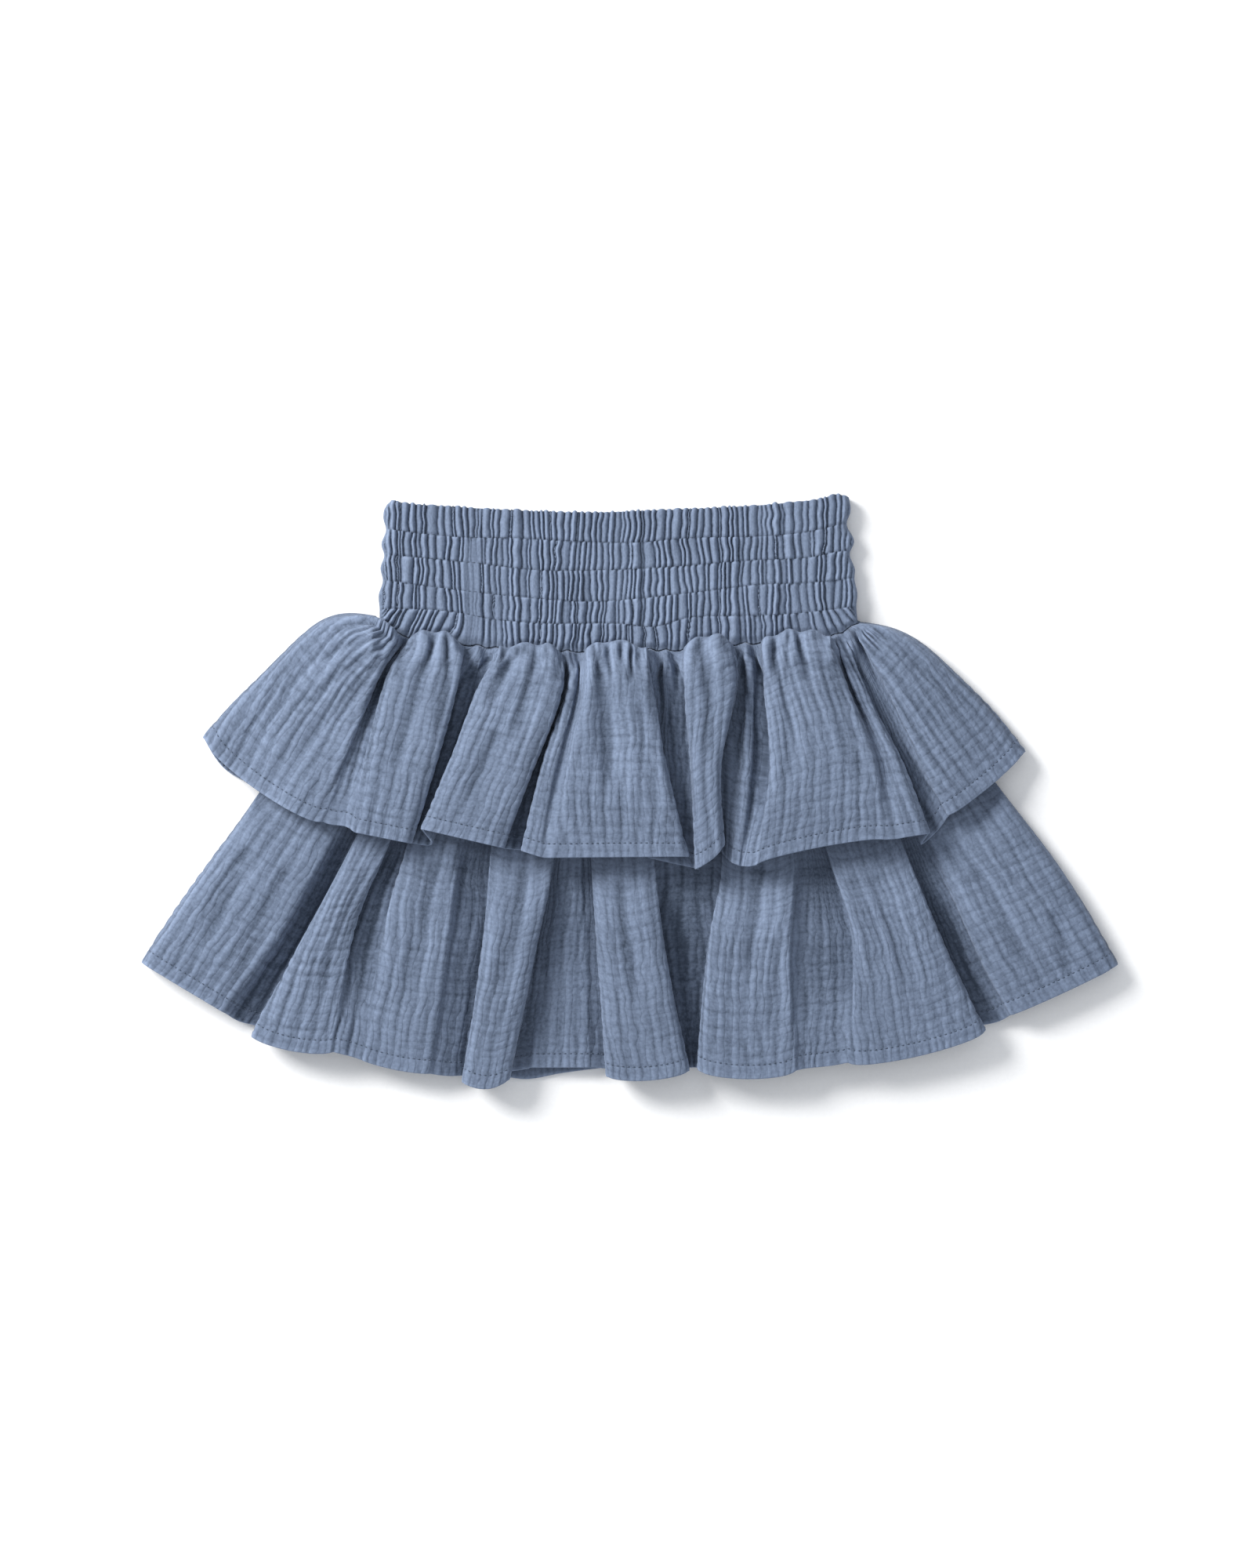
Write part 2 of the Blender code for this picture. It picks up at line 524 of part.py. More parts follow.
def make_waistband(name, front, material):
    """One side of the shirred band: pleats raised on the outside of a plain wall."""
    share, ridge = band_columns(front)
    lines = band_lines(seam_at if front else plain_seam)
    if not front:
        lines = lines[::2]
    outer, inner = [], []
    for k, (places, heights, fullness) in enumerate(lines):
        y_left, y_right = heights[0], heights[-1]
        x_left = float(np.interp(y_left, *np.transpose(BAND_LEFT)))
        x_right = float(np.interp(y_right, *np.transpose(BAND_RIGHT)))
        lean = 0.0016 * np.sin(9.0 * share + 1.9 * k) * np.sin(np.pi * share) ** 0.5
        spot = share + (lean if front else 0.0)
        x = x_left + (x_right - x_left) * spot
        y = through(places, heights, x)
        edge = np.minimum(x - x_left, x_right - x)
        turn = np.clip(edge / SIDE_TURN, 0.0, 1.0)
        round_off = np.sqrt(np.maximum(1.0 - (1.0 - turn) ** 2, 0.0))
        level = BAND_ROUND * round_off
        inner_level = (BAND_ROUND - BAND) * round_off
        inner_x = x + np.sign(0.5 - spot) * BAND * (1.0 - turn)
        if front:
            pinch = -ROW_PINCH * (1.0 - fullness)
            relief = (PLEAT_HEIGHT * (0.25 + 0.75 * fullness) * ridge + pinch) * smooth(turn)
            outer.append(np.stack([x, y, SIDE_TURN + GAP / 2 + level + relief], axis=1))
            inner.append(np.stack([inner_x, y, SIDE_TURN + GAP / 2 + inner_level], axis=1))
        else:
            outer.append(np.stack([x, y, SIDE_TURN - GAP / 2 - level], axis=1))
            inner.append(np.stack([inner_x, y, SIDE_TURN - GAP / 2 - inner_level], axis=1))
    if front:
        outer, inner = outer[::-1], inner[::-1]
    outer = np.array(outer).transpose(1, 0, 2)
    inner = np.array(inner).transpose(1, 0, 2)[:, (0, -1)]
    return closed_shell(name, outer, inner, material)


def clear_scene():
    """Start from an empty scene."""
    for item in list(bpy.data.objects):
        bpy.data.objects.remove(item)


def build_skirt():
    """All six pieces: two sides of the band, and a front and a back of each layer."""
    cloth = cloth_material("double_gauze", SLATE_BLUE, 0.9)
    band = cloth_material("shirred_gauze", SLATE_BAND, 0.9)
    make_waistband("waistband_front", True, band)
    make_waistband("waistband_back", False, band)
    make_tier_front("upper_ruffle_front", UPPER_FOLDS, UPPER_PLACES, UPPER_ROWS, UPPER_ROLL,
                    seam_at, upper_floor, None, cloth)
    make_upper_back(cloth)
    make_tier_front("lower_tier_front", LOWER_FOLDS, LOWER_PLACES, LOWER_ROWS, LOWER_ROLL,
                    plain_seam, lower_floor, lower_room, cloth)
    make_lower_back(cloth)


clear_scene()
build_skirt()
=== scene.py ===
# %% [markdown]
# # A child's tiered skirt, laid flat
# The skirt is a wide shirred waistband with two gathered layers of crinkled double gauze. It
# lies on its back, so the back panels are flat and the front panels stand over them in folds.
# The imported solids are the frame. Each piece of cloth here takes the place of one solid and
# keeps its form, with the crinkle, the gathers, the hems and the stitches added.

# %% Load the frame
from collections import namedtuple

import bpy
import numpy as np
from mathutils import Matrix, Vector


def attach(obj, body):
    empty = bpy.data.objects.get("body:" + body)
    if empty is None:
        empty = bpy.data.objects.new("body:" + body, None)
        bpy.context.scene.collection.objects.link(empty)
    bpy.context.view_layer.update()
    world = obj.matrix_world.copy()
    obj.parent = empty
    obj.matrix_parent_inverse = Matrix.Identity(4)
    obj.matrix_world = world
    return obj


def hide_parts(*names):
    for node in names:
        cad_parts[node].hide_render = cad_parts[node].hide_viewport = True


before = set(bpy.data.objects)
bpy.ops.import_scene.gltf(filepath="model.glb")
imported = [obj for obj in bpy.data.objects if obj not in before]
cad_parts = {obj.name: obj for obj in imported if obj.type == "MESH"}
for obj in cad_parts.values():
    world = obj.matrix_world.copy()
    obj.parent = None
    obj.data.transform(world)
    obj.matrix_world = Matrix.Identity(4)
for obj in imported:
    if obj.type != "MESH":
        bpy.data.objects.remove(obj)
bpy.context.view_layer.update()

# %% [markdown]
# ## Sizes
# All sizes are in millimetres, with +X to the right, +Y towards the waist and +Z up out of the
# front. The folds are rows of a table, as in a pattern maker's notes: where a fold's edges run,
# how high it stands, how far its edges roll under. A table can be changed by eye, fold by fold.

# %% Sizes of the cloth
MM = 0.001
CENTRE = (0.0, 0.513, 0.0)  # middle of the footprint, which is the origin of the frame
CLOTH = 1.2  # wall of a ruffle's solid
SHEET = 0.9  # thickness of the cloth that shows
GAP = 0.3  # air between two pieces at their seam
REST = 0.6  # air between a panel's valleys and what is under them
BAND_TOP = 7.0  # height of the waistband
SIDE_TURN = BAND_TOP / 2  # radius of its rolled ends
BAND_ROUND = SIDE_TURN - GAP / 2
BAND_WALL = 2.0
SIDE_COVER = 4.8  # the covered tier stays under this height at its sides,
SEAM_COVER = 5.2  # this at the waist seam
HEM_COVER = 9.6  # and this at the ruffle's hem
OPEN_RISE = 13.0  # how much higher its folds may stand once they come out
STEP_START = 5.0  # past the upper back hem by this, the lower back panel comes down,
STEP_WIDTH = 9.0  # and it is down after this

SEAM_LINE = ((-110, 75), (-98, 68), (-80, 65.5), (-60, 62), (-40, 61), (-20, 61), (0, 61),
             (20, 61.5), (40, 63.5), (60, 64.5), (80, 65.5), (90, 68), (100, 74))
TOP_LINE = ((-103, 126), (-97, 125), (-80, 123.8), (-50, 122), (-20, 121), (10, 122),
            (40, 123.2), (70, 125.5), (85, 127.6), (89, 129), (95, 127.3))
# The band's two ends have y first, then x.
BAND_LEFT = ((75, -108.4), (79.5, -108.4), (85, -108.8), (91.5, -107), (97, -108),
             (102.5, -106.4), (107, -107.6), (113.5, -105.6), (119, -106.8), (123, -106),
             (126, -103.5))
BAND_RIGHT = ((74, 98.8), (80, 98.2), (86, 98.6), (92.5, 97.4), (96, 97.6), (103.5, 95.4),
              (108, 97.2), (116.5, 94), (121, 95.6), (127, 95))
ELASTIC_ROWS = (
    ((-108.7, 79.3), (-72.6, 77.5), (-62, 75.3), (-43, 73.4), (-2, 72.7), (10, 71.6), (24, 75.3),
     (48, 76.4), (69, 77.1), (83, 78.6), (97, 80.4)),
    ((-107, 92), (-70, 87), (-50, 84.8), (-14, 82.6), (10, 84.5), (27, 86.4), (44, 88.5),
     (57, 90), (72, 90.4), (87, 91.5), (98, 93)),
    ((-106.5, 103), (-70, 99.5), (-36, 96), (-8, 96.3), (24, 98), (51, 100.3), (69, 101),
     (79, 101.8), (87, 103.6), (96, 104.7)),
    ((-105, 114), (-90, 112), (-75, 110.5), (-50, 110), (-20, 108.5), (0, 108), (25, 110),
     (60, 111), (72, 112), (83, 114), (94, 117)))

UPPER_HEM = ((-185, 34), (-162, 2), (-130, -14), (-95, -24), (-60, -28), (0, -30), (26, -38),
             (60, -34), (100, -24), (130, -25), (158, 3), (172, 24))
UPPER_BACK_HEM = ((-184, 23), (-176, 11), (-160, 2), (-130, -10), (-95, -18), (-50, -21), (0, -23),
                  (50, -22), (100, -16), (130, -10), (150, 1), (166, 13), (170.5, 18))
LOWER_BACK_HEM = ((-211, -73.5), (-203, -77.5), (-190, -84), (-165, -96), (-130, -107),
                  (-90, -116), (-62, -121), (-45, -124), (-30, -121.5), (0, -118), (60, -117),
                  (100, -112), (140, -104), (165, -94), (190, -84), (206, -78), (211, -74.5))
LEFT_SIDE = ((-110, 75), (-211.5, -74))
RIGHT_SIDE = ((100, 74.5), (211.5, -75))
print("hem", RIGHT_SIDE[1][0] - LEFT_SIDE[1][0], "mm wide, with the skirt laid flat")

# %% Tables of the folds
# Columns: edges at the seam (x) and at three places down to the hem (x, y); height of the crest
# at the four places; roll of the two edges and depth of the two valleys at the last three
# places; where each valley's hem lies (y); bow of the hem; how far the head pushes the seam up;
# hollow of the crest. The last three are 0 where they are left off.
Fold = namedtuple("Fold", "name left right lift tuck_left tuck_right deep_left deep_right "
                          "hem_left hem_right bow head dip", defaults=(0, 0, 0))
FULL = (1, 1, 1)  # a valley as deep as its fold is high, all the way down

UPPER_PLACES = (0.0, 0.33, 0.66, 1.0)
UPPER_FOLDS = (
    Fold("left_fan", (-110, (-133.5, 74.5), (-161, 49.3), (-185, 24)),
         (-96.8, (-108.8, 47), (-120, 20), (-132, -12.5)), (6, 9, 8, 6), (0, 0, 0), (5, 1, -3),
         FULL, (0.9, 0.45, 0.2), 24, -14, 6),
    Fold("left_inner", (-94, (-105, 50), (-113, 20), (-119, -17)),
         (-71.5, (-74, 45), (-82.5, 14), (-94, -22)), (6.5, 9, 9.5, 8), (3, 1, -3), (5, 7, 7),
         (0.9, 0.45, 0.2), FULL, -14, -20, 0, 2.6, 0.1),
    Fold("left_middle", (-55, (-66, 45), (-77, 16), (-90.5, -15.5)),
         (-30, (-29, 43), (-41, 10), (-54, -24)), (6.5, 9, 10, 9), (5, 6, 9), (5, 5, 2), FULL,
         FULL, -25, -24, 0, 1.6, 0.15),
    Fold("centre_ledge", (-27, (-27.8, 43), (-38, 12), (-47, -25)),
         (-22.8, (-23, 43), (-30.5, 14), (-39, -27.5)), (0.4, 5, 8, 8.5), (0.5, 2, 3), (0, -1, -2),
         FULL, (0.45, 0.3, 0.05), -25, -28),
    Fold("centre", (-19.5, (-20, 43), (-26.5, 14), (-34, -28)),
         (7, (10.8, 43), (16, 12), (26, -27.5)), (8, 10, 10, 9), (-1, -1.5, -2), (6, 12, 30),
         (0.6, 0.4, 0.1), FULL, -28, -26, 0, 2.6, 0.2),
    Fold("right_of_centre", (23, (23.3, 43), (26, 12), (28, -33)),
         (44.5, (46.5, 45), (39.8, 12), (41.2, -22.5)), (8, 10, 10, 9), (5, 4, 4), (5, 5, 4), FULL,
         FULL, -33, -25, 1.5, 3.0, 0.1),
    Fold("valley_rib", (49.5, (50, 45), (47.5, 10), (43.5, -30)),
         (52, (53.5, 45), (53, 10), (47.5, -31.5)), (0.8, 2.4, 3.4, 5.5), (-1, -1, 0), (-1, -1, 0),
         (1, 0.8, 0.2), (1, 0.8, 0.1), -30, -31.5),
    Fold("right_middle", (56.5, (58, 44), (60, 12), (54.5, -31)),
         (86, (94.3, 45), (105.5, 14), (110, -20.3)), (8, 10, 10, 8), (6, 5, -3), (-0.5, -1.5, -3),
         (1, 0.95, 0.2), (0.9, 0.3, 0.05), -32, -20, -2.5, 3.6, 0.12),
    Fold("right_ledge", (88.5, (97, 43.5), (110.5, 13.5), (118, -19.3)),
         (92, (104.5, 40), (118, 12), (129.5, -17.5)), (0.4, 4.5, 8, 8), (-0.8, -2, -3), (3, 5, 6),
         (0.7, 0.3, 0.05), FULL, -20, -25),
    Fold("right_fan", (96, (112, 43), (126, 12), (137, -10)),
         (100, (123, 67), (150, 43), (171.5, 18)), (3, 7, 7, 6), (-3, -4, -4), (0, 0, 0), FULL,
         FULL, -16, 18, 2),
)

LOWER_PLACES = (0.0, 0.5, 0.74, 1.0)
LOWER_FOLDS = (
    Fold("left_fan", (-110, (-166, -8), (-190, -41), (-211.5, -73.5)),
         (-91, (-127, -20), (-150, -62), (-174, -96)), (2, 8, 9, 7), (0, 0, 0), (-4, -5, -6), FULL,
         FULL, -74, -100),
    Fold("left_outer", (-84, (-120, -22), (-142, -64), (-164, -105)),
         (-75, (-105, -25), (-119, -60), (-128, -112)), (2, 10, 12, 10), (3, 6, 6), (4, 3, -4),
         FULL, (1, 0.65, 0.12), -101, -113, 3.5),
    Fold("left_inner", (-69, (-97, -24), (-107, -62), (-116, -115.5)),
         (-54, (-74, -27), (-78, -67), (-86, -121.5)), (2, 8, 9, 8), (4, 2, -4), (-4, -7, -8),
         (1, 0.65, 0.12), (1, 0.6, 0.5), -114, -123, 1.5),
    Fold("left_of_centre", (-48, (-60.5, -28), (-64, -68), (-73, -125)),
         (-33, (-32.5, -30), (-40, -68), (-51.5, -124)), (2, 11, 14, 12), (3, 6, 6), (5, 7, 5),
         FULL, FULL, -122, -121, 4, 0, 0.1),
    Fold("valley_rib", (-28.5, (-30.5, -30), (-35, -68), (-44, -119)),
         (-22.5, (-20.5, -30), (-18.5, -68), (-16, -119)), (0.5, 1.0, 1.3, 2.2), (0, 0, 0),
         (0, 0, 0), (0.8, 0.6, 0.4), (0.8, 0.6, 0.4), -119.8, -118.8),
    Fold("centre", (-18, (-17, -32), (-14.3, -70), (-10.5, -122.5)),
         (4, (11, -33), (16, -70), (26, -120)), (2, 11, 14, 12), (5, 7, 5), (5, 7, 4), FULL, FULL,
         -120, -119, 3.5, 0, 0.1),
    Fold("right_of_centre", (28, (39.5, -33), (33.5, -67), (29, -119.5)),
         (54, (71, -30), (70, -68), (72, -120)), (2, 11, 14, 12), (5, 7, 4), (-3, -3, -3), FULL,
         (0.85, 0.55, 0.25), -119, -119, 4.5, 0, 0.15),
    Fold("right_inner", (60, (86, -29), (96, -64), (94, -116.5)),
         (84, (122, -32), (139, -72), (154, -102.5)), (2, 10, 13, 11), (3, 2, -6), (3, 6, 6),
         (1, 0.65, 0.15), FULL, -118, -101, 5, 0, 0.1),
    Fold("right_fan", (91, (131, -25), (149, -66), (164, -96.5)),
         (100, (164, -3), (189, -36), (211.5, -74.5)), (2, 7, 8, 7), (-4, -5, -5), (0, 0, 0), FULL,
         FULL, -100, -75, 1),
)

# Small round heads where the ruffle is gathered into the waist seam: x, half width, height and
# how far down the cloth each one reaches.
PUFFS = (
    (-111, 3.5, 4.0, 16), (-104, 4.5, 2.6, 18), (-90, 4.2, 2.2, 16), (-79, 4.6, 2.2, 18),
    (-65.5, 2.8, 3.4, 13), (-57.5, 3.4, 3.4, 13), (-45, 5.2, 2.4, 20), (-35, 3.2, 2.6, 14),
    (-27, 2.2, 2.4, 11),
    (-15.5, 3.8, 2.2, 22), (-4, 6.2, 2.4, 24), (8.8, 2.6, 3.2, 16), (15.5, 2.4, 2.4, 12),
    (27.5, 4.4, 2.6, 24), (38.5, 4.4, 2.6, 20), (49.5, 2.4, 2.6, 13), (58.5, 3.6, 2.2, 18),
    (68.5, 4.4, 2.4, 20), (79.5, 4.2, 2.4, 16), (88.5, 2.6, 3.0, 12), (95.5, 3.0, 2.6, 14),
)
print("folds of the upper ruffle:", len(UPPER_FOLDS), " of the lower tier:", len(LOWER_FOLDS))

# %% [markdown]
# ## From a table to a surface
# A gathered panel could be simulated, but a simulation never falls in the folds that are asked
# for. Here each fold gives a few rails that run from seam to hem, and a smooth spline joins the
# rails across. The surface is a function of two numbers, so a whole panel is a few array sums.

# %% Curves and masks


def smooth(t):
    """Ease from 0 to 1: three t squared less two t cubed, held at both ends."""
    t = np.clip(t, 0.0, 1.0)
    return t * t * (3.0 - 2.0 * t)


def through(places, values, at):
    """A smooth curve through the values given at places: cubic between each two, with the
    slope at each that the parabola through it and its neighbours has."""
    places = np.asarray(places, float)
    values = np.asarray(values, float)
    at = np.clip(np.asarray(at, float), places[0], places[-1])
    flat = values.reshape(len(places), -1)
    step = np.diff(places)[:, None]
    rise = np.diff(flat, axis=0) / step
    slope = np.empty_like(flat)
    slope[1:-1] = (rise[:-1] * step[1:] + rise[1:] * step[:-1]) / (step[:-1] + step[1:])
    slope[0] = 1.5 * rise[0] - 0.5 * slope[1]
    slope[-1] = 1.5 * rise[-1] - 0.5 * slope[-2]
    i = np.clip(np.searchsorted(places, at, side="right") - 1, 0, len(places) - 2)
    h = step[i]
    t = ((at - places[i]) / h[:, 0])[:, None]
    curve = ((2 * t ** 3 - 3 * t ** 2 + 1) * flat[i] + (t ** 3 - 2 * t ** 2 + t) * h * slope[i]
             + (3 * t ** 2 - 2 * t ** 3) * flat[i + 1] + (t ** 3 - t ** 2) * h * slope[i + 1])
    return curve.reshape((len(at),) + values.shape[1:])


def eased(places, values, at):
    """Values at places joined by eases, so that nothing between them overshoots."""
    places = np.asarray(places, float)
    values = np.asarray(values, float)
    i = np.clip(np.searchsorted(places, at, side="right") - 1, 0, len(places) - 2)
    share = smooth((at - places[i]) / (places[i + 1] - places[i]))
    return values[i] + (values[i + 1] - values[i]) * share


def line_at(line, x):
    """Height y of a plan line, given as (x, y) points, above each x."""
    x = np.asarray(x, float)
    xs, ys = np.transpose(line)
    return through(xs, ys, x.ravel()).reshape(x.shape)


LATTICE = (199, 211)  # points of the lattice of chance before it repeats


def mottle(x, y, seed):
    """Smooth chance: random numbers from -1 to 1 on a lattice, eased between its corners."""
    lattice = np.random.default_rng(seed).uniform(-1, 1, LATTICE)
    across, down = LATTICE
    i, j = np.floor(x).astype(int), np.floor(y).astype(int)
    a, b = smooth(x - i), smooth(y - j)
    i, j, i2, j2 = i % across, j % down, (i + 1) % across, (j + 1) % down
    return ((lattice[i, j] * (1 - a) + lattice[i2, j] * a) * (1 - b)
            + (lattice[i, j2] * (1 - a) + lattice[i2, j2] * a) * b)


def unit(vectors):
    """The same directions with length 1."""
    return vectors / np.maximum(np.linalg.norm(vectors, axis=-1), 1e-9)[..., None]


def running(steps):
    """How far each point is along a line, from the lengths of its steps."""
    return np.concatenate([[0.0], np.cumsum(steps)])


def spans(points, axis=0):
    """Distance from each point to the next along an axis of the grid."""
    return np.linalg.norm(np.diff(points, axis=axis), axis=-1)


def ribbed(phase, power):
    """Round ribs with sharp grooves between them: the size of a cosine, to a power."""
    return np.abs(np.cos(np.pi * phase)) ** power


def tangents(points, axis):
    """Direction of the grid lines at each point: midway between the steps to and from it."""
    step = unit(np.diff(points, axis=axis))
    first = np.take(step, (0,), axis=axis)
    last = np.take(step, (-1,), axis=axis)
    return unit(np.concatenate([first, step], axis=axis) + np.concatenate([step, last], axis=axis))


def normals(points):
    """Outward direction at each grid point: across turned against down."""
    return unit(np.cross(tangents(points, 1), tangents(points, 0)))


# %% [markdown]
# ## How the layers lie on each other
# The lower tier is covered by the ruffle as far as the ruffle's hem, and lies flat there. Once
# it comes out, its folds may stand. The ruffle lies on what is under it.

# %% Heights of the layers


def plain_seam(x):
    """Waist seam of the panels under the ruffle."""
    return line_at(SEAM_LINE, x)


def puffed(x, along):
    """Sum of the small heads: height times a bell of the distance to the head over its half
    width, times `along` of its reach."""
    total = np.zeros_like(np.asarray(x, float))
    for middle, width, rise, reach in PUFFS:
        total = total + rise * np.exp(-((x - middle) / width) ** 2) * along(reach)
    return total


def seam_at(x):
    """Waist seam of the ruffle: the smooth line, pushed up by the round head of each fold."""
    y = line_at(SEAM_LINE, x)
    for fold in UPPER_FOLDS:
        left, right = fold.left[0], fold.right[0]
        ease = 0.4 * (right - left)
        y = y + fold.head * smooth((x - left) / ease) * smooth((right - x) / ease)
    return y + 0.5 * (puffed(x, lambda reach: 1.0) - 1.2)


def side_depth(x, y):
    """How far a plan point lies inside the lower tier's two straight side edges."""
    (ax, ay), (bx, by) = LEFT_SIDE
    (cx, cy), (dx, dy) = RIGHT_SIDE
    left = ((x - ax) * (ay - by) - (y - ay) * (ax - bx)) / np.hypot(ax - bx, ay - by)
    right = ((y - cy) * (cx - dx) - (x - cx) * (cy - dy)) / np.hypot(cx - dx, cy - dy)
    return np.minimum(left, right)


def lower_back_base(x, y):
    """Underside of the lower back panel: on the upper back ruffle, then down beside it."""
    beyond = line_at(UPPER_BACK_HEM, x) - STEP_START - y
    return (CLOTH + GAP) * (1.0 - smooth(beyond / STEP_WIDTH))


def cover(x, y):
    """Height that the covered folds of the lower tier stay under."""
    inside = side_depth(x, y)
    middle = SEAM_COVER + (HEM_COVER - SEAM_COVER) * smooth((66.0 - y) / 80.0)
    inner = SIDE_COVER + (middle - SIDE_COVER) * smooth(inside / 18.0)
    outer = CLOTH + (SIDE_COVER - CLOTH) * smooth((inside + 16.0) / 16.0)
    return np.where(inside > 0.0, inner, outer)


def upper_floor(x, y):
    """Outer face of the ruffle in the bottom of its valleys."""
    return cover(x, y) + REST + CLOTH


def lower_floor(x, y):
    """Outer face of the lower tier in the bottom of its valleys."""
    return lower_back_base(x, y) + CLOTH + REST + CLOTH


def lower_room(x, y):
    """Height that the lower tier's folds have over their valleys."""
    opened = smooth((line_at(UPPER_HEM, x) - 2.0 - y) / 30.0)
    return np.maximum(cover(x, y) - lower_floor(x, y), 0.3) + OPEN_RISE * opened


# %% Rails of a fold and the panel across them
HEAD_END = 0.15  # share of a panel's length in which its folds rise
PUFF_END = 0.075  # and in which their heads puff over the band
SOFT_START = -0.8  # an edge spreads by this until it starts to roll under
EDGE_LOW, EDGE_HIGH = 0.68, 0.22  # drop of an edge's two rails, as shares of its valley
SHOULDER, WIDEST_SHOULDER = 0.2, 4.4  # width as a share of the fold's, and at most
SHOULDER_LIFT = 0.97  # its height as a share of the crest's
HIGHER = 1.12  # the soft cloth stands a little higher than its solid
SIDE_DROP = 0.7  # a side edge lies this much lower, close to the back panel


def edge_path(edge, places, rows, seam_line=plain_seam):
    """Plan path of a fold's edge: from its place on the seam through its three points."""
    seam = (edge[0], float(seam_line(edge[0])) - GAP)
    return through(places, (seam,) + tuple(edge[1:]), rows)


def fold_rails(fold, places, rows, roll_from, seam_line, first, last):
    """Rails across one fold, each a plan path and a height: valley, low and high part of the
    edge, shoulder, crest, and the same again down the right side."""
    left = edge_path(fold.left, places, rows, seam_line)
    right = edge_path(fold.right, places, rows, seam_line)
    width = np.linalg.norm(right - left, axis=1)[:, None]
    across = (right - left) / width
    down = np.stack([across[:, 1], -across[:, 0]], axis=1)
    to_hem = smooth((rows - 0.5) / 0.5)[:, None]
    lift = HIGHER * eased(places, fold.lift, rows)[:, None]
    roll_places = (0.0, roll_from) + tuple(places[1:])
    middle = (left + right) / 2 + down * fold.bow * to_hem
    shoulder = np.minimum(SHOULDER * width, WIDEST_SHOULDER)
    rails = []
    sides = ((left, across, fold.tuck_left, fold.deep_left, fold.hem_left, first),
             (right, -across, fold.tuck_right, fold.deep_right, fold.hem_right, last))
    for edge, inward, tuck, deep, hem_y, is_end in sides:
        top = edge + inward * shoulder + down * fold.bow * 0.6 * to_hem
        if is_end:
            side = [(edge, 0.0 * lift - SIDE_DROP), (edge + inward * 0.5, 0.3 * lift),
                    (edge + inward * shoulder * 0.6, 0.72 * lift),
                    (top + inward * shoulder * 0.5, 0.92 * lift)]
        else:
            roll = eased(roll_places, (SOFT_START, SOFT_START) + tuple(tuck), rows)[:, None]
            depth = eased(places, (deep[0],) + tuple(deep), rows)[:, None]
            foot = edge + inward * roll
            foot[:, 1] += (hem_y - foot[-1, 1]) * smooth((rows - 0.7) / 0.3)
            side = [(foot, lift * (1.0 - depth)), (edge, lift * (1.0 - EDGE_LOW * depth)),
                    (edge, lift * (1.0 - EDGE_HIGH * depth)), (top, SHOULDER_LIFT * lift)]
        rails.append(side)
    return rails[0] + [(middle, lift * (1.0 - fold.dip))] + rails[1][::-1]


def spline_across(control, at):
    """Cubic B-spline over the rails: at is 0 on the first and 1 more on each next one."""
    before, after = 2 * control[:1] - control[1:2], 2 * control[-1:] - control[-2:-1]
    padded = np.concatenate([before, control, after])
    i = np.clip(at.astype(int), 0, len(control) - 2)
    t = (at - i)[:, None, None]
    a, b, c, d = (padded[i + k] for k in range(4))
    return ((1 - t) ** 3 * a + (3 * t ** 3 - 6 * t ** 2 + 4) * b
            + (-3 * t ** 3 + 3 * t ** 2 + 3 * t + 1) * c + t ** 3 * d) / 6


def folded_panel(folds, places, rows, roll_from, seam_line, floor, room, columns, overhang):
    """Outer points of a gathered panel, columns across and rows down, with the columns about
    evenly far apart at the hem. High heads puff over the band by `overhang`."""
    head_share = np.clip(rows / HEAD_END, 0.0, 1.0)
    rise = 0.08 + 0.92 * np.sin(np.pi / 2 * head_share ** 0.8)
    rails = []
    for i, fold in enumerate(folds):
        ends = (i == 0, i == len(folds) - 1)
        for path, height in fold_rails(fold, places, rows, roll_from, seam_line, *ends):
            rails.append(np.concatenate([path, height * rise[:, None]], axis=1))
    control = np.array(rails)
    travelled = running(spans(control)[:, len(rows) // 2:].mean(1) + 0.4)
    at = np.interp(np.linspace(0, travelled[-1], columns), travelled, np.arange(len(control)))
    x, y, height = np.moveaxis(spline_across(control, at), 2, 0)
    off_seam = y[:, :1] - (seam_line(x[:, :1]) - GAP)
    y = y - off_seam * (1.0 - smooth(rows / HEAD_END))
    if overhang:
        below = y[:, :1] - y
        height = height + puffed(
            x, lambda reach: np.sin(np.pi * np.clip(below / reach, 0, 1) ** 0.6))
    puff = np.sin(np.pi * np.clip(rows / PUFF_END, 0, 1)) ** 1.5
    y = y + overhang * puff * smooth(height / 8.0)
    if room is not None:
        limit = room(x, y)
        height = limit * np.tanh(height / limit)
    return np.stack([x, y, floor(x, y) + height], axis=2), at


# %% [markdown]
# ## Cloth coordinates
# Crinkle, weave and stitches belong to the cloth, not to the table it lies on. So each point of
# a panel gets its place in the flat cut: u across, measured along the cloth at the hem, and v,
# its distance from the hem. Gathered cloth has the same u in less room, so its ribs crowd
# together at the seam, as the real ones do. The same two numbers are the UV map, in metres.

# %% Cloth coordinates and the crinkle
RIB = 6.5  # pitch of the crinkle's large ribs
TIE = 6.2  # pitch of the lines that tie the two gauzes together
RAILS = 9  # rails of one fold


def cloth_places(grid, settled):
    """u: length along the rows from `settled` on, averaged; v: length down to the hem."""
    u = running(spans(grid)[:, settled:].mean(1))
    from_hem = np.cumsum(spans(grid, 1)[:, ::-1], axis=1)[:, ::-1]
    v = np.concatenate([from_hem, np.zeros((len(grid), 1))], axis=1)
    return np.broadcast_to(u[:, None], v.shape).copy(), v


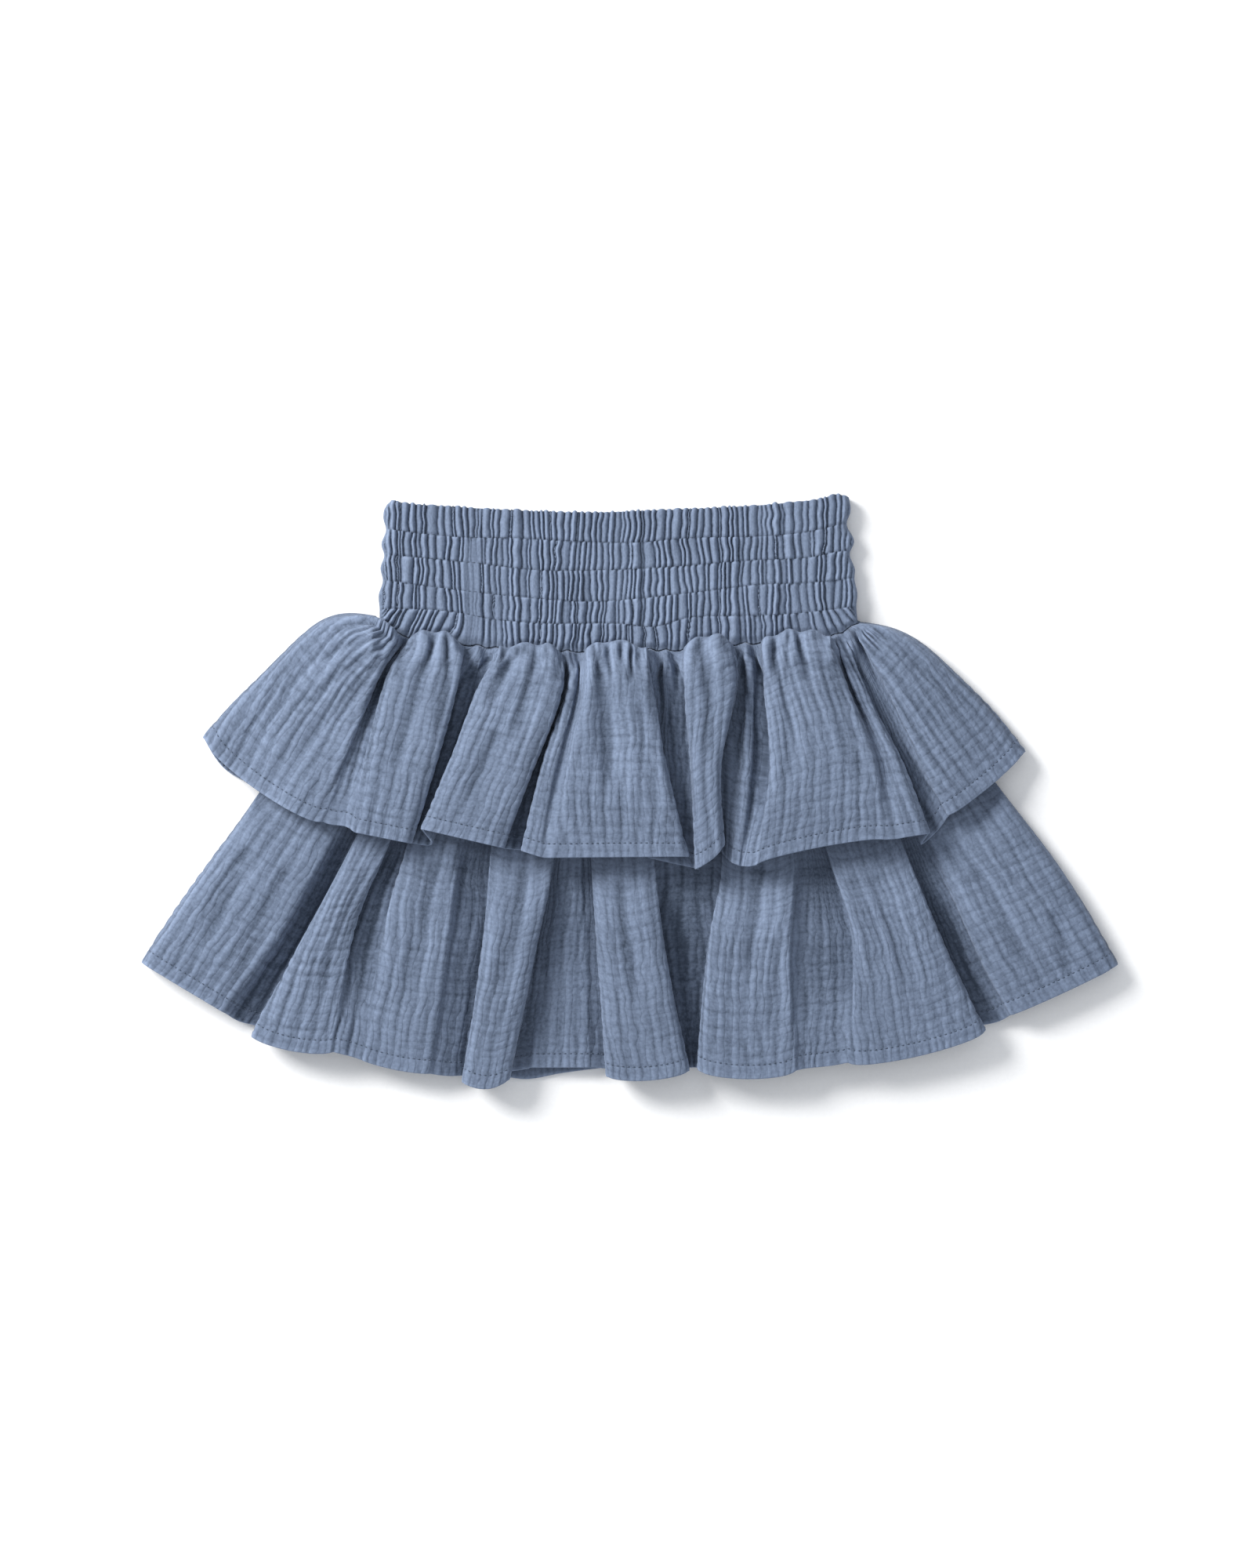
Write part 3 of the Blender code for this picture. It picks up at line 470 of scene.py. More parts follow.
def kept_places(grid, u, at):
    """The same u, but with true lengths in the middle of each fold and all the spare cloth
    near its two valleys, where it is out of sight: the length from the fold's middle, plus
    the spare length times the fifth power of the share of the way to the valley."""
    s = np.cumsum(np.linalg.norm(np.diff(grid, axis=0, prepend=grid[:1]), axis=2), axis=0)
    count = round((at[-1] + 1) / RAILS)
    ends = np.searchsorted(at, RAILS * np.arange(count + 1) - 0.5).clip(0, len(at) - 1)
    placed = u.copy()
    for k, middle in enumerate(np.searchsorted(at, RAILS * np.arange(count) + RAILS // 2)):
        for end in (ends[k], ends[k + 1]):
            span = slice(min(middle, end), max(middle, end) + 1)
            length = np.maximum(np.abs(s[end] - s[middle]), 0.1)
            share = np.abs(s[span] - s[middle]) / length
            spare = np.abs(u[end] - u[middle]) - length
            run = share * length + spare * share ** 5
            placed[span] = u[middle] + np.sign(end - middle) * run
    return placed, np.clip(np.gradient(s, axis=0) / np.gradient(placed, axis=0), 0.0, 1.0)


def crinkle(u, v, seed):
    """Height of the crinkle, about -0.7 to 0.4: round ribs along the grain with sharp grooves
    between (the size of a cosine), their phase pushed about by chance, and tied down in
    cross lines."""
    drift = 0.3 * mottle(u / 16, v / 24, seed) + 0.08 * mottle(u / 6, v / 9, seed + 1)
    phase = u / RIB + drift
    ribs = ribbed(phase, 0.8)
    halves = np.abs(np.cos(2 * np.pi * phase + 0.9
                           + 0.7 * mottle(u / 10, v / 14, seed + 2))) ** 0.8
    shift = 0.45 * mottle(u / 10, v / 20, seed + 3) + 0.14 * mottle(u / 4, v / 11, seed + 6)
    ties = ribbed(v / TIE + shift, 0.6)
    tied = 0.36 + 0.34 * mottle(u / 11, v / 9, seed + 5)
    swell = 0.8 + 0.35 * mottle(u / 22, v / 28, seed + 4)
    return swell * (0.6 * ribs + 0.4 * halves) * (1.0 - tied + tied * ties) - 0.5


def gathers(u, from_seam, seed):
    """Small pleats that the gathering throws: strong just below the seam, gone by its reach,
    with smaller ones between them right at the seam. Each is the size of a cosine."""
    phase = u / 9.5 + 0.8 * mottle(u / 14, from_seam / 40, seed)
    small = u / 5.2 + 0.7 * mottle(u / 8, from_seam / 25, seed + 3)
    reach = 18.0 + 16.0 * mottle(u / 11, 0 * u, seed + 1)
    end = smooth((from_seam - 8.0) / np.maximum(reach, 6.0))
    fade = smooth((from_seam - 3.5) / 6.0) * (1.0 - end)
    near = 1.0 - smooth((from_seam - 6.0) / 9.0)
    taller = 1.0 + 0.5 * mottle(u / 10, 0 * u, seed + 2)
    large = taller * (ribbed(phase, 0.7) - 0.6)
    return fade * (large + 0.4 * near * (ribbed(small, 0.8) - 0.6))


# %% [markdown]
# ## Smaller creases
# The tables hold the large folds. The smaller ones are drawn on the panel as lines in plan,
# each with a width and a depth: below zero a soft trough, above zero a soft ridge.

# %% Creases of the two front panels
# Each row is a depth, a width and the points of the line.
UPPER_CREASES = (
    (-2.0, 3.0, (-77, 64), (-78.5, 55), (-80, 48), (-81.5, 36), (-84, 20)),
    (-1.6, 3.5, (-88, 60), (-92, 42), (-99, 22), (-105, 2)),
    (-2.0, 2.6, (-50, 60), (-53, 54), (-58, 46), (-63, 34)),
    (-2.2, 2.8, (-35.5, 62), (-40, 57.5), (-43, 50), (-46.5, 35), (-51, 18)),
    (-1.8, 4.0, (-56, 28), (-64, 10), (-71, -8)),
    (-4.6, 4.2, (-12, 62), (-11, 40), (-10, 20), (-8, -6)),
    (-1.5, 1.9, (-14.5, 64), (-12.5, 56), (-12, 46)),
    (-1.5, 1.9, (0, 63), (1, 56), (0, 44)),
    (-1.6, 3.4, (4, 40), (6, 20), (9, 0), (12, -14)),
    (-1.9, 2.4, (32, 64), (32, 52), (34.5, 38), (34.5, 22), (33, 4)),
    (-2.1, 3.0, (63, 67), (63.5, 57), (66, 45), (68, 30), (68, 10), (65, -8)),
    (-1.7, 2.4, (74, 68), (75, 58), (78, 44)),
    (-2.2, 4.0, (85, 58), (90, 38), (96, 16), (101, -4)),
    (-1.8, 2.2, (-103, 68), (-114, 66), (-126, 62), (-138, 54)),
    (-1.7, 2.4, (-103, 65), (-116, 58), (-130, 47), (-146, 33)),
    (-1.6, 2.8, (-106, 60), (-118, 47), (-132, 30), (-146, 12)),
    (-1.5, 3.2, (-113, 50), (-124, 33), (-134, 14), (-141, 0)),
    (-1.2, 1.8, (-104, 71.5), (-112, 72), (-122, 71), (-130, 67)),
    (-1.6, 2.2, (103, 70), (112, 66), (121, 58), (131, 46)),
    (-1.6, 2.6, (101, 65), (112, 55), (124, 40), (140, 20)),
    (-1.4, 3.0, (106, 52), (119, 33), (132, 13), (141, 2)),
)
LOWER_CREASES = (
    (-2.6, 4.5, (56, -28), (54, -45), (52, -60), (53, -84)),
    (-1.8, 4.0, (63, -60), (62, -85), (60, -108)),
    (-1.8, 3.6, (183, -50), (187, -66), (191, -84)),
    (-2.0, 4.4, (146, -32), (160, -55), (172, -80)),
    (-2.0, 4.4, (-164, -22), (-176, -46), (-187, -70)),
    (-1.8, 4.0, (-146, -30), (-160, -58), (-172, -84)),
    (-2.4, 4.6, (-112, -30), (-124, -62), (-140, -98)),
    (-2.4, 5.0, (-84, -28), (-90, -60), (-99, -98)),
    (-2.0, 3.4, (-46, -30), (-50, -58), (-59, -95)),
    (-2.2, 3.8, (-4, -35), (-2, -62), (5, -98)),
    (-2.4, 4.4, (104, -32), (114, -62), (123, -94)),
    (-1.8, 4.0, (95, -34), (105, -60), (109, -86)),
)


def creased(x, y, creases):
    """Sum over the lines of depth times a bell of the distance to the line over its width. A
    line fades in over the first eighth of its length and out over the last third."""
    total = np.zeros_like(x)
    for depth, width, *line in creases:
        points = np.asarray(line, float)
        near = np.full(x.shape, 1e9)
        along = np.zeros_like(x)
        lengths = spans(points)
        start = 0.0
        for (ax, ay), (bx, by), length in zip(points[:-1], points[1:], lengths):
            t = np.clip(((x - ax) * (bx - ax) + (y - ay) * (by - ay)) / length ** 2, 0, 1)
            away = np.hypot(x - ax - t * (bx - ax), y - ay - t * (by - ay))
            along = np.where(away < near, (start + t * length) / lengths.sum(), along)
            near = np.minimum(near, away)
            start += length
        fade = smooth(along / 0.12) * smooth((1.0 - along) / 0.3)
        total += depth * fade * np.exp(-(near / width) ** 2)
    return total


# %% [markdown]
# ## Closed cloth
# A cloth is a thin closed shell: the outer grid with all its detail, a round rim at the hem, and
# a plainer inner grid with fewer points, because hardly anyone sees the inside.

# %% Meshes
SKIP_ACROSS, SKIP_DOWN = 2, 4  # the inner grid keeps one column of 2, one row of 4
# Painted shade: the cloth's colour is darker where it lies deep in a groove, a crease or a valley.
DEEP_GROOVE = 0.45  # a groove this deep has the darkest tone
DEEP_CREASE = 1.6  # so has a crease, among neighbours three times as far away
DEEP_VALLEY = 6.0  # and a valley that lies this far below its sides
VALLEY_REACH = 32  # grid lines over which its sides are looked for
VALLEY_SHADE = 1.8  # its tone, where a groove's is 1


def kept(count, skip):
    """Every skip-th index, and the last."""
    picked = np.arange(0, count, skip)
    return picked if picked[-1] == count - 1 else np.append(picked, count - 1)


def coarse(grid):
    """The grid's columns and rows that the inner side keeps."""
    columns, rows = grid.shape[:2]
    return grid[np.ix_(kept(columns, SKIP_ACROSS), kept(rows, SKIP_DOWN))]


def blurred(values, reach):
    """Mean of each grid value and its neighbours, `reach` of them on every side."""
    for axis in (0, 1):
        width = [(reach + 1, reach) if a == axis else (0, 0) for a in (0, 1)]
        total = np.cumsum(np.pad(values, width, mode="edge"), axis=axis)
        span = 2 * reach + 1
        last = total.shape[axis]
        values = (np.take(total, range(span, last), axis=axis)
                  - np.take(total, range(last - span), axis=axis)) / span
    return values


def lowest(values, reach):
    """Least of each grid value and its neighbours, `reach` of them on every side."""
    for axis in (0, 1):
        last = values.shape[axis] - 1
        near = [np.clip(np.arange(last + 1) + step, 0, last) for step in range(-reach, reach + 1)]
        values = np.min([np.take(values, places, axis=axis) for places in near], axis=0)
    return values


def put(name, data):
    """An object that holds the data, in the scene."""
    made = bpy.data.objects.new(name, data)
    bpy.context.collection.objects.link(made)
    return made


def put_mesh(name, points, faces, material, uv=None, painted_shade=None):
    """An object in metres about the frame's origin, smooth, with its material, its UV map and its
    painted shade: how deep each point lies among its neighbours, which darkens its colour."""
    mesh = bpy.data.meshes.new(name)
    mesh.from_pydata(((np.asarray(points) - CENTRE) * MM).tolist(), [], faces)
    mesh.polygons.foreach_set("use_smooth", np.ones(len(mesh.polygons), bool))
    if uv is not None:
        layer = mesh.uv_layers.new(name="cloth")
        corner = np.empty(len(mesh.loops), np.int32)
        mesh.loops.foreach_get("vertex_index", corner)
        layer.data.foreach_set("uv", (np.asarray(uv)[corner] * MM).astype(np.float32).ravel())
    if painted_shade is not None:
        depth = mesh.attributes.new("painted_shade", "FLOAT", "POINT")
        depth.data.foreach_set("value", np.asarray(painted_shade, np.float32))
    mesh.materials.append(material)
    mesh.update()
    return put(name, mesh)


def quads(ids, flip=False):
    """Faces of a grid of point numbers, facing out when columns run left to right and rows
    down."""
    corners = [ids[:-1, :-1], ids[:-1, 1:], ids[1:, 1:], ids[1:, :-1]]
    if flip:
        corners = corners[::-1]
    return np.stack(corners, axis=-1).reshape(-1, 4).tolist()


def bridge(fine, plain, skip, flip):
    """Faces between an edge with many points and one with every skip-th of them."""
    picked = kept(len(fine), skip)
    faces = []
    for k in range(len(plain) - 1):
        ring = list(fine[picked[k]:picked[k + 1] + 1]) + [plain[k + 1], plain[k]]
        ring = [int(i) for i in ring]
        faces.append(ring[::-1] if flip else ring)
    return faces


def shell(name, outer, inner, uv, relief, valley, material):
    """Closed body from the outer grid and the plainer inner grid. A point's painted shade, which
    darkens its colour, is how far it lies under the mean of its neighbours, near and wider, plus
    the painted shade of its valley."""
    columns, rows = outer.shape[:2]
    top = np.arange(columns * rows).reshape(columns, rows)
    under = columns * rows + np.arange(inner.shape[0] * inner.shape[1]).reshape(inner.shape[:2])
    faces = quads(top) + quads(under, flip=True)
    faces += bridge(top[:, 0], under[:, 0], SKIP_ACROSS, False)
    faces += bridge(top[:, -1], under[:, -1], SKIP_ACROSS, True)
    faces += bridge(top[0], under[0], SKIP_DOWN, True)
    faces += bridge(top[-1], under[-1], SKIP_DOWN, False)
    points = np.concatenate([outer.reshape(-1, 3), inner.reshape(-1, 3)])
    places = np.concatenate([uv.reshape(-1, 2), coarse(uv).reshape(-1, 2)])
    deep = np.clip((blurred(relief, 3) - relief) / DEEP_GROOVE, -1, 1) + valley
    deep = deep + 0.8 * np.clip((blurred(relief, 9) - relief) / DEEP_CREASE, -0.5, 1)
    deep = np.pad(deep, ((0, 0), (0, rows - deep.shape[1]))).ravel()
    painted_shade = np.concatenate([deep, np.zeros(inner.shape[0] * inner.shape[1])])
    return put_mesh(name, points, faces, material, places, painted_shade)


HEM_STITCH = 5.8  # from the hem's edge up to its row of stitches
RIM_TURN = np.radians((35.0, 70.0, 105.0, 145.0))  # of each row of points on the rim


def hem_relief(u, v):
    """The turned hem: two layers below the stitches, a groove along them, small puckers."""
    doubled = 0.06 * smooth((HEM_STITCH + 0.4 - v) / 1.2)
    groove = -0.13 * np.exp(-((v - HEM_STITCH) / 0.5) ** 2)
    waves = np.sin(2 * np.pi * u / 3.1 + 1.5 * mottle(u / 9, v / 9, 71))
    edge = -0.25 * smooth(1 - v / 0.9)
    return doubled + groove + 0.2 * waves * smooth(1 - v / 7.5) + edge


def with_rim(outer, normal, thick):
    """The grid with a half-round rim past its last row: the edge turns about a line half the
    thickness below it."""
    radius = thick / 2
    beyond = unit(outer[:, -1] - outer[:, -3])
    beyond = unit(beyond - (beyond * normal[:, -1]).sum(1)[:, None] * normal[:, -1])
    middle = outer[:, -1] - normal[:, -1] * radius
    rim = [middle + radius * (np.sin(a) * beyond + np.cos(a) * normal[:, -1]) for a in RIM_TURN]
    return np.concatenate([outer, np.stack(rim, axis=1)], axis=1)


Cloth = namedtuple("Cloth", "piece outer normal v")
ROOM = 0.6  # relief as deep as this needs no lower inside


def with_last(grid, last):
    """The grid with its last row repeated for each row of the rim."""
    return np.concatenate([grid, np.repeat(last[:, -1:], len(RIM_TURN), axis=1)], axis=1)


def finished_cloth(name, base, relief, u, v, thick=SHEET):
    """Outer grid lifted by its relief, rimmed at the hem, over an inner grid one thickness
    below the plain form, and lower under its creases. Returns the piece and the outer grid
    with its normals."""
    normal = normals(base)
    outer = base + normal * relief[:, :, None]
    sunk = np.minimum(blurred(lowest(relief, 4), 3) + ROOM, 0.0) - thick
    plain = with_last(base + normal * sunk[:, :, None], outer - normal * thick)
    places = np.stack([u, v], axis=2)
    # Painted shade of the valleys: the colour darkens where the cloth lies below the mean height
    # around it.
    height = base[:, :, 2] * np.sign(normal[:, :, 2].mean())
    below = blurred(height, VALLEY_REACH) - height
    valley = VALLEY_SHADE * np.clip(below / DEEP_VALLEY, 0, 1)
    piece = shell(name, with_rim(outer, normal, thick), coarse(plain),
                  with_last(places, places), relief, valley, GAUZE)
    return piece, outer, normal


# %% [markdown]
# ## Materials
# Double gauze is two thin open weaves tied together, washed so that it crinkles. It is matt, with
# a slight nap that catches the light on its ribs. Its colour is darkened in the grooves, creases
# and valleys as painted shade. The ribs are in the mesh. Finer lines and the weave are bump, read
# from the cloth's UV map, and the finer lines' grooves get painted shade too.

# %% Shader maths and the cloth
FINE_RIB, FINE_TIE = 0.0033, 0.0035  # pitch of the small puffs across and along, in metres
# The colour runs between these blues: the darker holds the cloth's mottled tone and the painted
# shade of grooves, creases and valleys; the lighter holds its own colour and the painted highlight
# at the hem's edge.
MOTTLE_AND_SHADE_BLUE, RIB_BLUE = (0.038, 0.053, 0.083, 1), (0.182, 0.231, 0.333, 1)
THREAD_BLUE = (0.07, 0.094, 0.142, 1)


class Wire:
    """A socket that adds Math nodes when it is used in an expression."""

    def __init__(self, tree, socket):
        self.tree, self.socket = tree, socket

    def math(self, operation, *others, first=None):
        values = [self if first is None else first] + list(others)
        return node(self.tree, "ShaderNodeMath", {"operation": operation}, dict(enumerate(values)))

    def __add__(self, other):
        return self.math("ADD", other)

    def __sub__(self, other):
        return self.math("SUBTRACT", other)

    def __rsub__(self, other):
        return self.math("SUBTRACT", self, first=other)

    def __mul__(self, other):
        return self.math("MULTIPLY", other)

    def puffs(self):
        """Round between sharp grooves: the size of the cosine, to the power 0.8."""
        return self.math("COSINE").math("ABSOLUTE").math("POWER", 0.8)


def node(tree, kind, settings, sockets, output=0):
    """Adds a node: settings first, then the value or link of each named socket."""
    made = tree.nodes.new(kind)
    for key, value in settings.items():
        setattr(made, key, value)
    for key, value in sockets.items():
        if isinstance(value, Wire):
            tree.links.new(value.socket, made.inputs[key])
        else:
            made.inputs[key].default_value = value
    return Wire(tree, made.outputs[output])


def between(tree, factor, low, high):
    """Colour mixed from low to high."""
    return node(tree, "ShaderNodeMix", {"data_type": "RGBA"}, {0: factor, 6: low, 7: high}, 2)


def ramp(tree, value, start, end, low=0.0, high=1.0):
    """Low up to start, high from end on, and a straight line between them."""
    return node(tree, "ShaderNodeMapRange", {}, {
        "Value": value, "From Min": start, "From Max": end, "To Min": low, "To Max": high})


def new_material(name):
    """A material with its node tree and its shader."""
    material = bpy.data.materials.new(name)
    material.use_nodes = True
    return material, material.node_tree, material.node_tree.nodes["Principled BSDF"]


def cloth_material(name, bump_depth, puffed_by):
    """Crinkled gauze: noise in the flat cut for its nap and mottling, and small puffs between
    grooves, which are the size of a cosine of u and of v with their phase pushed by noise."""
    material, tree, shader = new_material(name)
    place = node(tree, "ShaderNodeUVMap", {"uv_map": "cloth"}, {})
    split = tree.nodes.new("ShaderNodeSeparateXYZ")
    tree.links.new(place.socket, split.inputs[0])
    u, v = Wire(tree, split.outputs[0]), Wire(tree, split.outputs[1])
    chance = {}
    for part, scale, detail in (("mottling", 40.0, 4.0), ("nap", 760.0, 3.0), ("drift", 75.0, 2.0),
                                ("jitter", 260.0, 1.0), ("patch", 30.0, 2.0)):
        chance[part] = node(tree, "ShaderNodeTexNoise", {},
                            {"Vector": place, "Scale": scale, "Detail": detail})
    nap, drift, patch = chance["nap"], chance["drift"], chance["patch"]
    ribs = (u * (np.pi / FINE_RIB) + drift * 6.0).puffs()
    ties = (v * (np.pi / FINE_TIE) + drift * 3.0 + chance["jitter"] * 1.6).puffs()
    painted_shade = node(tree, "ShaderNodeAttribute", {"attribute_name": "painted_shade"}, {}, 2)
    above_hem = ramp(tree, v, 0.005, 0.008)
    weaker_at_head = ramp(tree, v, 0.05, 0.1, 1.0, 0.6)
    across = (1.0 - ribs) * (patch * 1.4) * weaker_at_head
    grooves = (across + (1.0 - ties) * (0.85 - patch) * above_hem) * puffed_by
    # Painted shade: the fine grooves and how deep each point lies among its neighbours darken the
    # colour; the mottling and nap are the cloth's own tone.
    tone = chance["mottling"] * 0.5 + nap * 0.8 - grooves * 0.22 - painted_shade * 0.24
    # Painted highlight: the colour is lighter over the last 1.2 mm at the hem's edge.
    hem_edge_highlight = ramp(tree, v, 0.0, 0.0012, 0.35, 0.0)
    colour = between(tree, tone + hem_edge_highlight, MOTTLE_AND_SHADE_BLUE, RIB_BLUE)
    bump = node(tree, "ShaderNodeBump", {}, {
        "Strength": 1.0, "Distance": bump_depth, "Height": nap * 0.45 - grooves})
    rough = ramp(tree, nap, 0.0, 1.0, 0.8, 0.98)
    for wire, key in ((colour, "Base Color"), (rough, "Roughness"), (bump, "Normal")):
        tree.links.new(wire.socket, shader.inputs[key])
    for key, value in (("Specular IOR Level", 0.25), ("Sheen Weight", 0.15),
                       ("Sheen Roughness", 0.45), ("Sheen Tint", (0.75, 0.83, 1.0, 1.0))):
        shader.inputs[key].default_value = value
    return material


def plain_material(name, colour, roughness):
    """One even finish with a trace of noise, for thread and for the floor."""
    material, tree, shader = new_material(name)
    place = node(tree, "ShaderNodeTexCoord", {}, {}, 3)
    grain = node(tree, "ShaderNodeTexNoise", {}, {"Vector": place, "Scale": 700.0, "Detail": 2.0})
    lighter = tuple(min(1.0, c * 1.06) for c in colour[:3]) + (1.0,)
    tree.links.new(between(tree, grain, colour, lighter).socket, shader.inputs["Base Color"])
    shader.inputs["Roughness"].default_value = roughness
    return material


GAUZE = cloth_material("double_gauze_cloth", 0.00028, 1.0)
SHIRRED = cloth_material("shirred_gauze_cloth", 0.0002, 0.3)
THREAD = plain_material("sewing_thread", THREAD_BLUE, 0.7)
print("materials:", GAUZE.name, SHIRRED.name, THREAD.name)

# %% [markdown]
# ## The two front panels
# Both are the same kind of piece: a folded panel, creases drawn on it, gathers at its head,
# crinkle over all of it and a turned hem. Where cloth turns under, the creases are left off.

# %% Rows and settings


def spaced(*runs):
    """Rows from seam to hem: each run is (from, to, how many steps)."""
    parts = [np.linspace(a, b, n, endpoint=False) for a, b, n in runs]
    return np.concatenate(parts + [[1.0]])


UPPER_ROWS = spaced((0.0, 0.16, 30), (0.16, 0.9, 88), (0.9, 1.0, 24))
LOWER_ROWS = spaced((0.0, 0.44, 22), (0.44, 0.93, 98), (0.93, 1.0, 24))
COLUMNS = 500
CREASED = 0.55  # share of the creases' depths in the tables
HEAD_ROW = 20  # a row on the round heads, where their height is read
LEFT_FAN = -92.0  # left of this x the crinkle is stronger


def front_panel(name, base, at, floor, middle_row, creases, heights, seed, shown=1.0):
    """A front panel: creases, gathers, crinkle and hem in millimetres along its normal, as much
    of them as is `shown`. The round heads stay smooth. Heights are the crinkle's and the
    gathers'."""
    normal = normals(base)
    even_u, v = cloth_places(base, middle_row)
    u, open_cloth = kept_places(base, even_u, at)
    x, y, z = np.moveaxis(base, 2, 0)
    upright = smooth((normal[:, :, 2] - 0.15) / 0.5)
    steps = np.cumsum(spans(base, 1), axis=1)
    from_seam = np.concatenate([np.zeros((len(base), 1)), steps], axis=1)
    height = z - floor(x, y)
    relief = CREASED * creased(x, y, creases) * (upright * smooth((height - 1.0) / 5.0))
    relief += heights[1] * gathers(even_u, from_seam, seed + 20) * upright ** 2
    round_head = smooth((height[:, HEAD_ROW:HEAD_ROW + 1] - 2.0) / 4.0)
    calmer_hem = 1.0 - 0.3 * smooth((7.0 - v) / 3.0)
    strength = calmer_hem * (1.0 + 0.3 * smooth((LEFT_FAN - x) / 20))
    relief += heights[0] * strength * open_cloth ** 1.5 * crinkle(u, v, seed)
    relief *= 1.0 - round_head * (1.0 - smooth((from_seam - 3.0) / 8.0))
    relief = (relief + hem_relief(u, v)) * shown
    piece, outer, normal = finished_cloth(name, base, relief, u, v)
    print(name, round(u.max()), "mm wide,", round(v.max()), "mm long;",
          len(piece.data.polygons), "faces")
    return Cloth(piece, outer, normal, v)


# %% Upper ruffle, front
base, at = folded_panel(
    UPPER_FOLDS, UPPER_PLACES, UPPER_ROWS, 0.06, seam_at, upper_floor, None, COLUMNS, 5.0)
upper_front = front_panel("upper_ruffle_front_cloth", base, at, upper_floor,
                          len(UPPER_ROWS) // 2, UPPER_CREASES, (1.1, 2.7), 11)

# %% Lower tier, front
TUCKED_IN = 4.0  # how far the lower tier runs up inside the band
TUCKED_TOP = 4.3  # and the height that it stays under there
TUCKED_WIDTH = 0.95  # and its width there

base, at = folded_panel(
    LOWER_FOLDS, LOWER_PLACES, LOWER_ROWS, 0.34, plain_seam, lower_floor, lower_room, COLUMNS, 0.0)
head = base[:, :1].repeat(2, axis=1)
head[:, :, 0] *= TUCKED_WIDTH
head[:, :, 1] += np.array((TUCKED_IN, TUCKED_IN / 2))
head[:, :, 2] = np.minimum(head[:, :, 2], TUCKED_TOP)
base = np.concatenate([head, base], axis=1)
uncovered = smooth((line_at(UPPER_HEM, base[:, :, 0]) + 14.0 - base[:, :, 1]) / 8.0)
lower_front = front_panel("lower_tier_front_cloth", base, at, lower_floor, len(LOWER_ROWS) // 2,
                          LOWER_CREASES, (0.95, 0.0), 43, 0.1 + 0.9 * uncovered)

# %% [markdown]
# ## The back panels
# They lie flat on the surface, so their relief goes inwards only: creases and crinkle are
# pressed into the underside, and what stands out of it lies in one plane.

# %% Back panels
BACK_CUT = 1.25  # length of a back panel's cloth, as a share of its width when laid


def fan_rows(folds, places, hem, across, down):
    """Plan grid of a flat back panel: straight lines from seam to hem, bent near the sides to
    follow the side edges of the front panel."""
    ends = (edge_path(folds[0].left, places, down), edge_path(folds[-1].right, places, down))
    seam_x = np.interp(across, (0, 1), (folds[0].left[0], folds[-1].right[0]))
    seam = np.stack([seam_x, plain_seam(seam_x) - GAP], axis=1)
    hem = np.asarray(hem, float)
    length = running(spans(hem))
    hem_points = through(length / length[-1], hem, across)
    grid = seam[:, None] * (1 - down)[None, :, None] + hem_points[:, None] * down[None, :, None]
    for column, edge, share in ((0, ends[0], (1 - across) ** 3), (-1, ends[1], across ** 3)):
        bend = edge - (seam[column] * (1 - down)[:, None] + edge[-1] * down[:, None])
        grid = grid + bend[None] * share[:, None, None]
    return grid


def back_panel(name, folds, places, hem, height_at, columns, rows, seed):
    """A back panel with its outer side down: pressed gathers, crinkle and a turned hem."""
    grid = fan_rows(folds, places, hem, np.linspace(0, 1, columns), rows)[::-1]
    height = height_at(grid[:, :, 0], grid[:, :, 1])
    base = np.concatenate([grid, height[:, :, None]], axis=2)
    u, v = cloth_places(base, len(rows) // 2)
    u = u * BACK_CUT
    from_seam = v.max() - v
    pressed = gathers(u, from_seam * 0.45, seed + 20) * 0.55
    soft = 0.3 * mottle(u / 34, from_seam / 130, seed + 5) * smooth(from_seam / 30)
    relief = pressed + soft + 0.32 * crinkle(u, v, seed) + 0.5 * hem_relief(u, v)
    relief = np.clip(relief - 0.25, -0.3 - 0.8 * smooth((v - 1.0) / 3.0), -0.02)
    sides = smooth(np.minimum(u, u.max() - u) / 4.0)
    piece, outer, normal = finished_cloth(name, base, relief * sides, u, v, CLOTH - 0.1)
    print(name, len(piece.data.polygons), "faces")
    return Cloth(piece, outer, normal, cloth_places(outer, 0)[1])


upper_back = back_panel(
    "upper_ruffle_back_cloth", UPPER_FOLDS, UPPER_PLACES, UPPER_BACK_HEM,
    lambda x, y: 0.0 * x, 300, spaced((0.0, 0.9, 60), (0.9, 1.0, 12)), 81)
lower_back = back_panel(
    "lower_tier_back_cloth", LOWER_FOLDS, LOWER_PLACES, LOWER_BACK_HEM,
    lower_back_base, 340, spaced((0.0, 0.93, 96), (0.93, 1.0, 14)), 97)

# %% [markdown]
# ## The shirred waistband
# Rows of elastic thread draw the cloth up into narrow pleats. Each band between two rows has
# pleats of its own, of uneven width, that lean a little and start afresh at the next row. So
# each band gets its own chance row of pleat widths, and the rib is the size of a sine of the
# pleat number.

# %% Waistband
BANDS = 5  # bands of pleats, with a row of elastic between each two
BAND_ROWS = 23  # rows of points in each
BAND_COLUMNS = 620
TURN_COLUMNS = 13  # columns on each rolled end
BAND_CUT = 1.9  # length of the pleated cloth, as a share of its drawn up width
PLEAT = 2.5  # mean width of a pleat
PLEATS, SPARE = 110, 10  # pleats in the chance row, and numbers left over at its end
FIRST_PLEAT = -118.0  # x where the row starts, outside the band
PANEL_SEAM = -63.5  # x of the seam that joins two lengths of the band's cloth


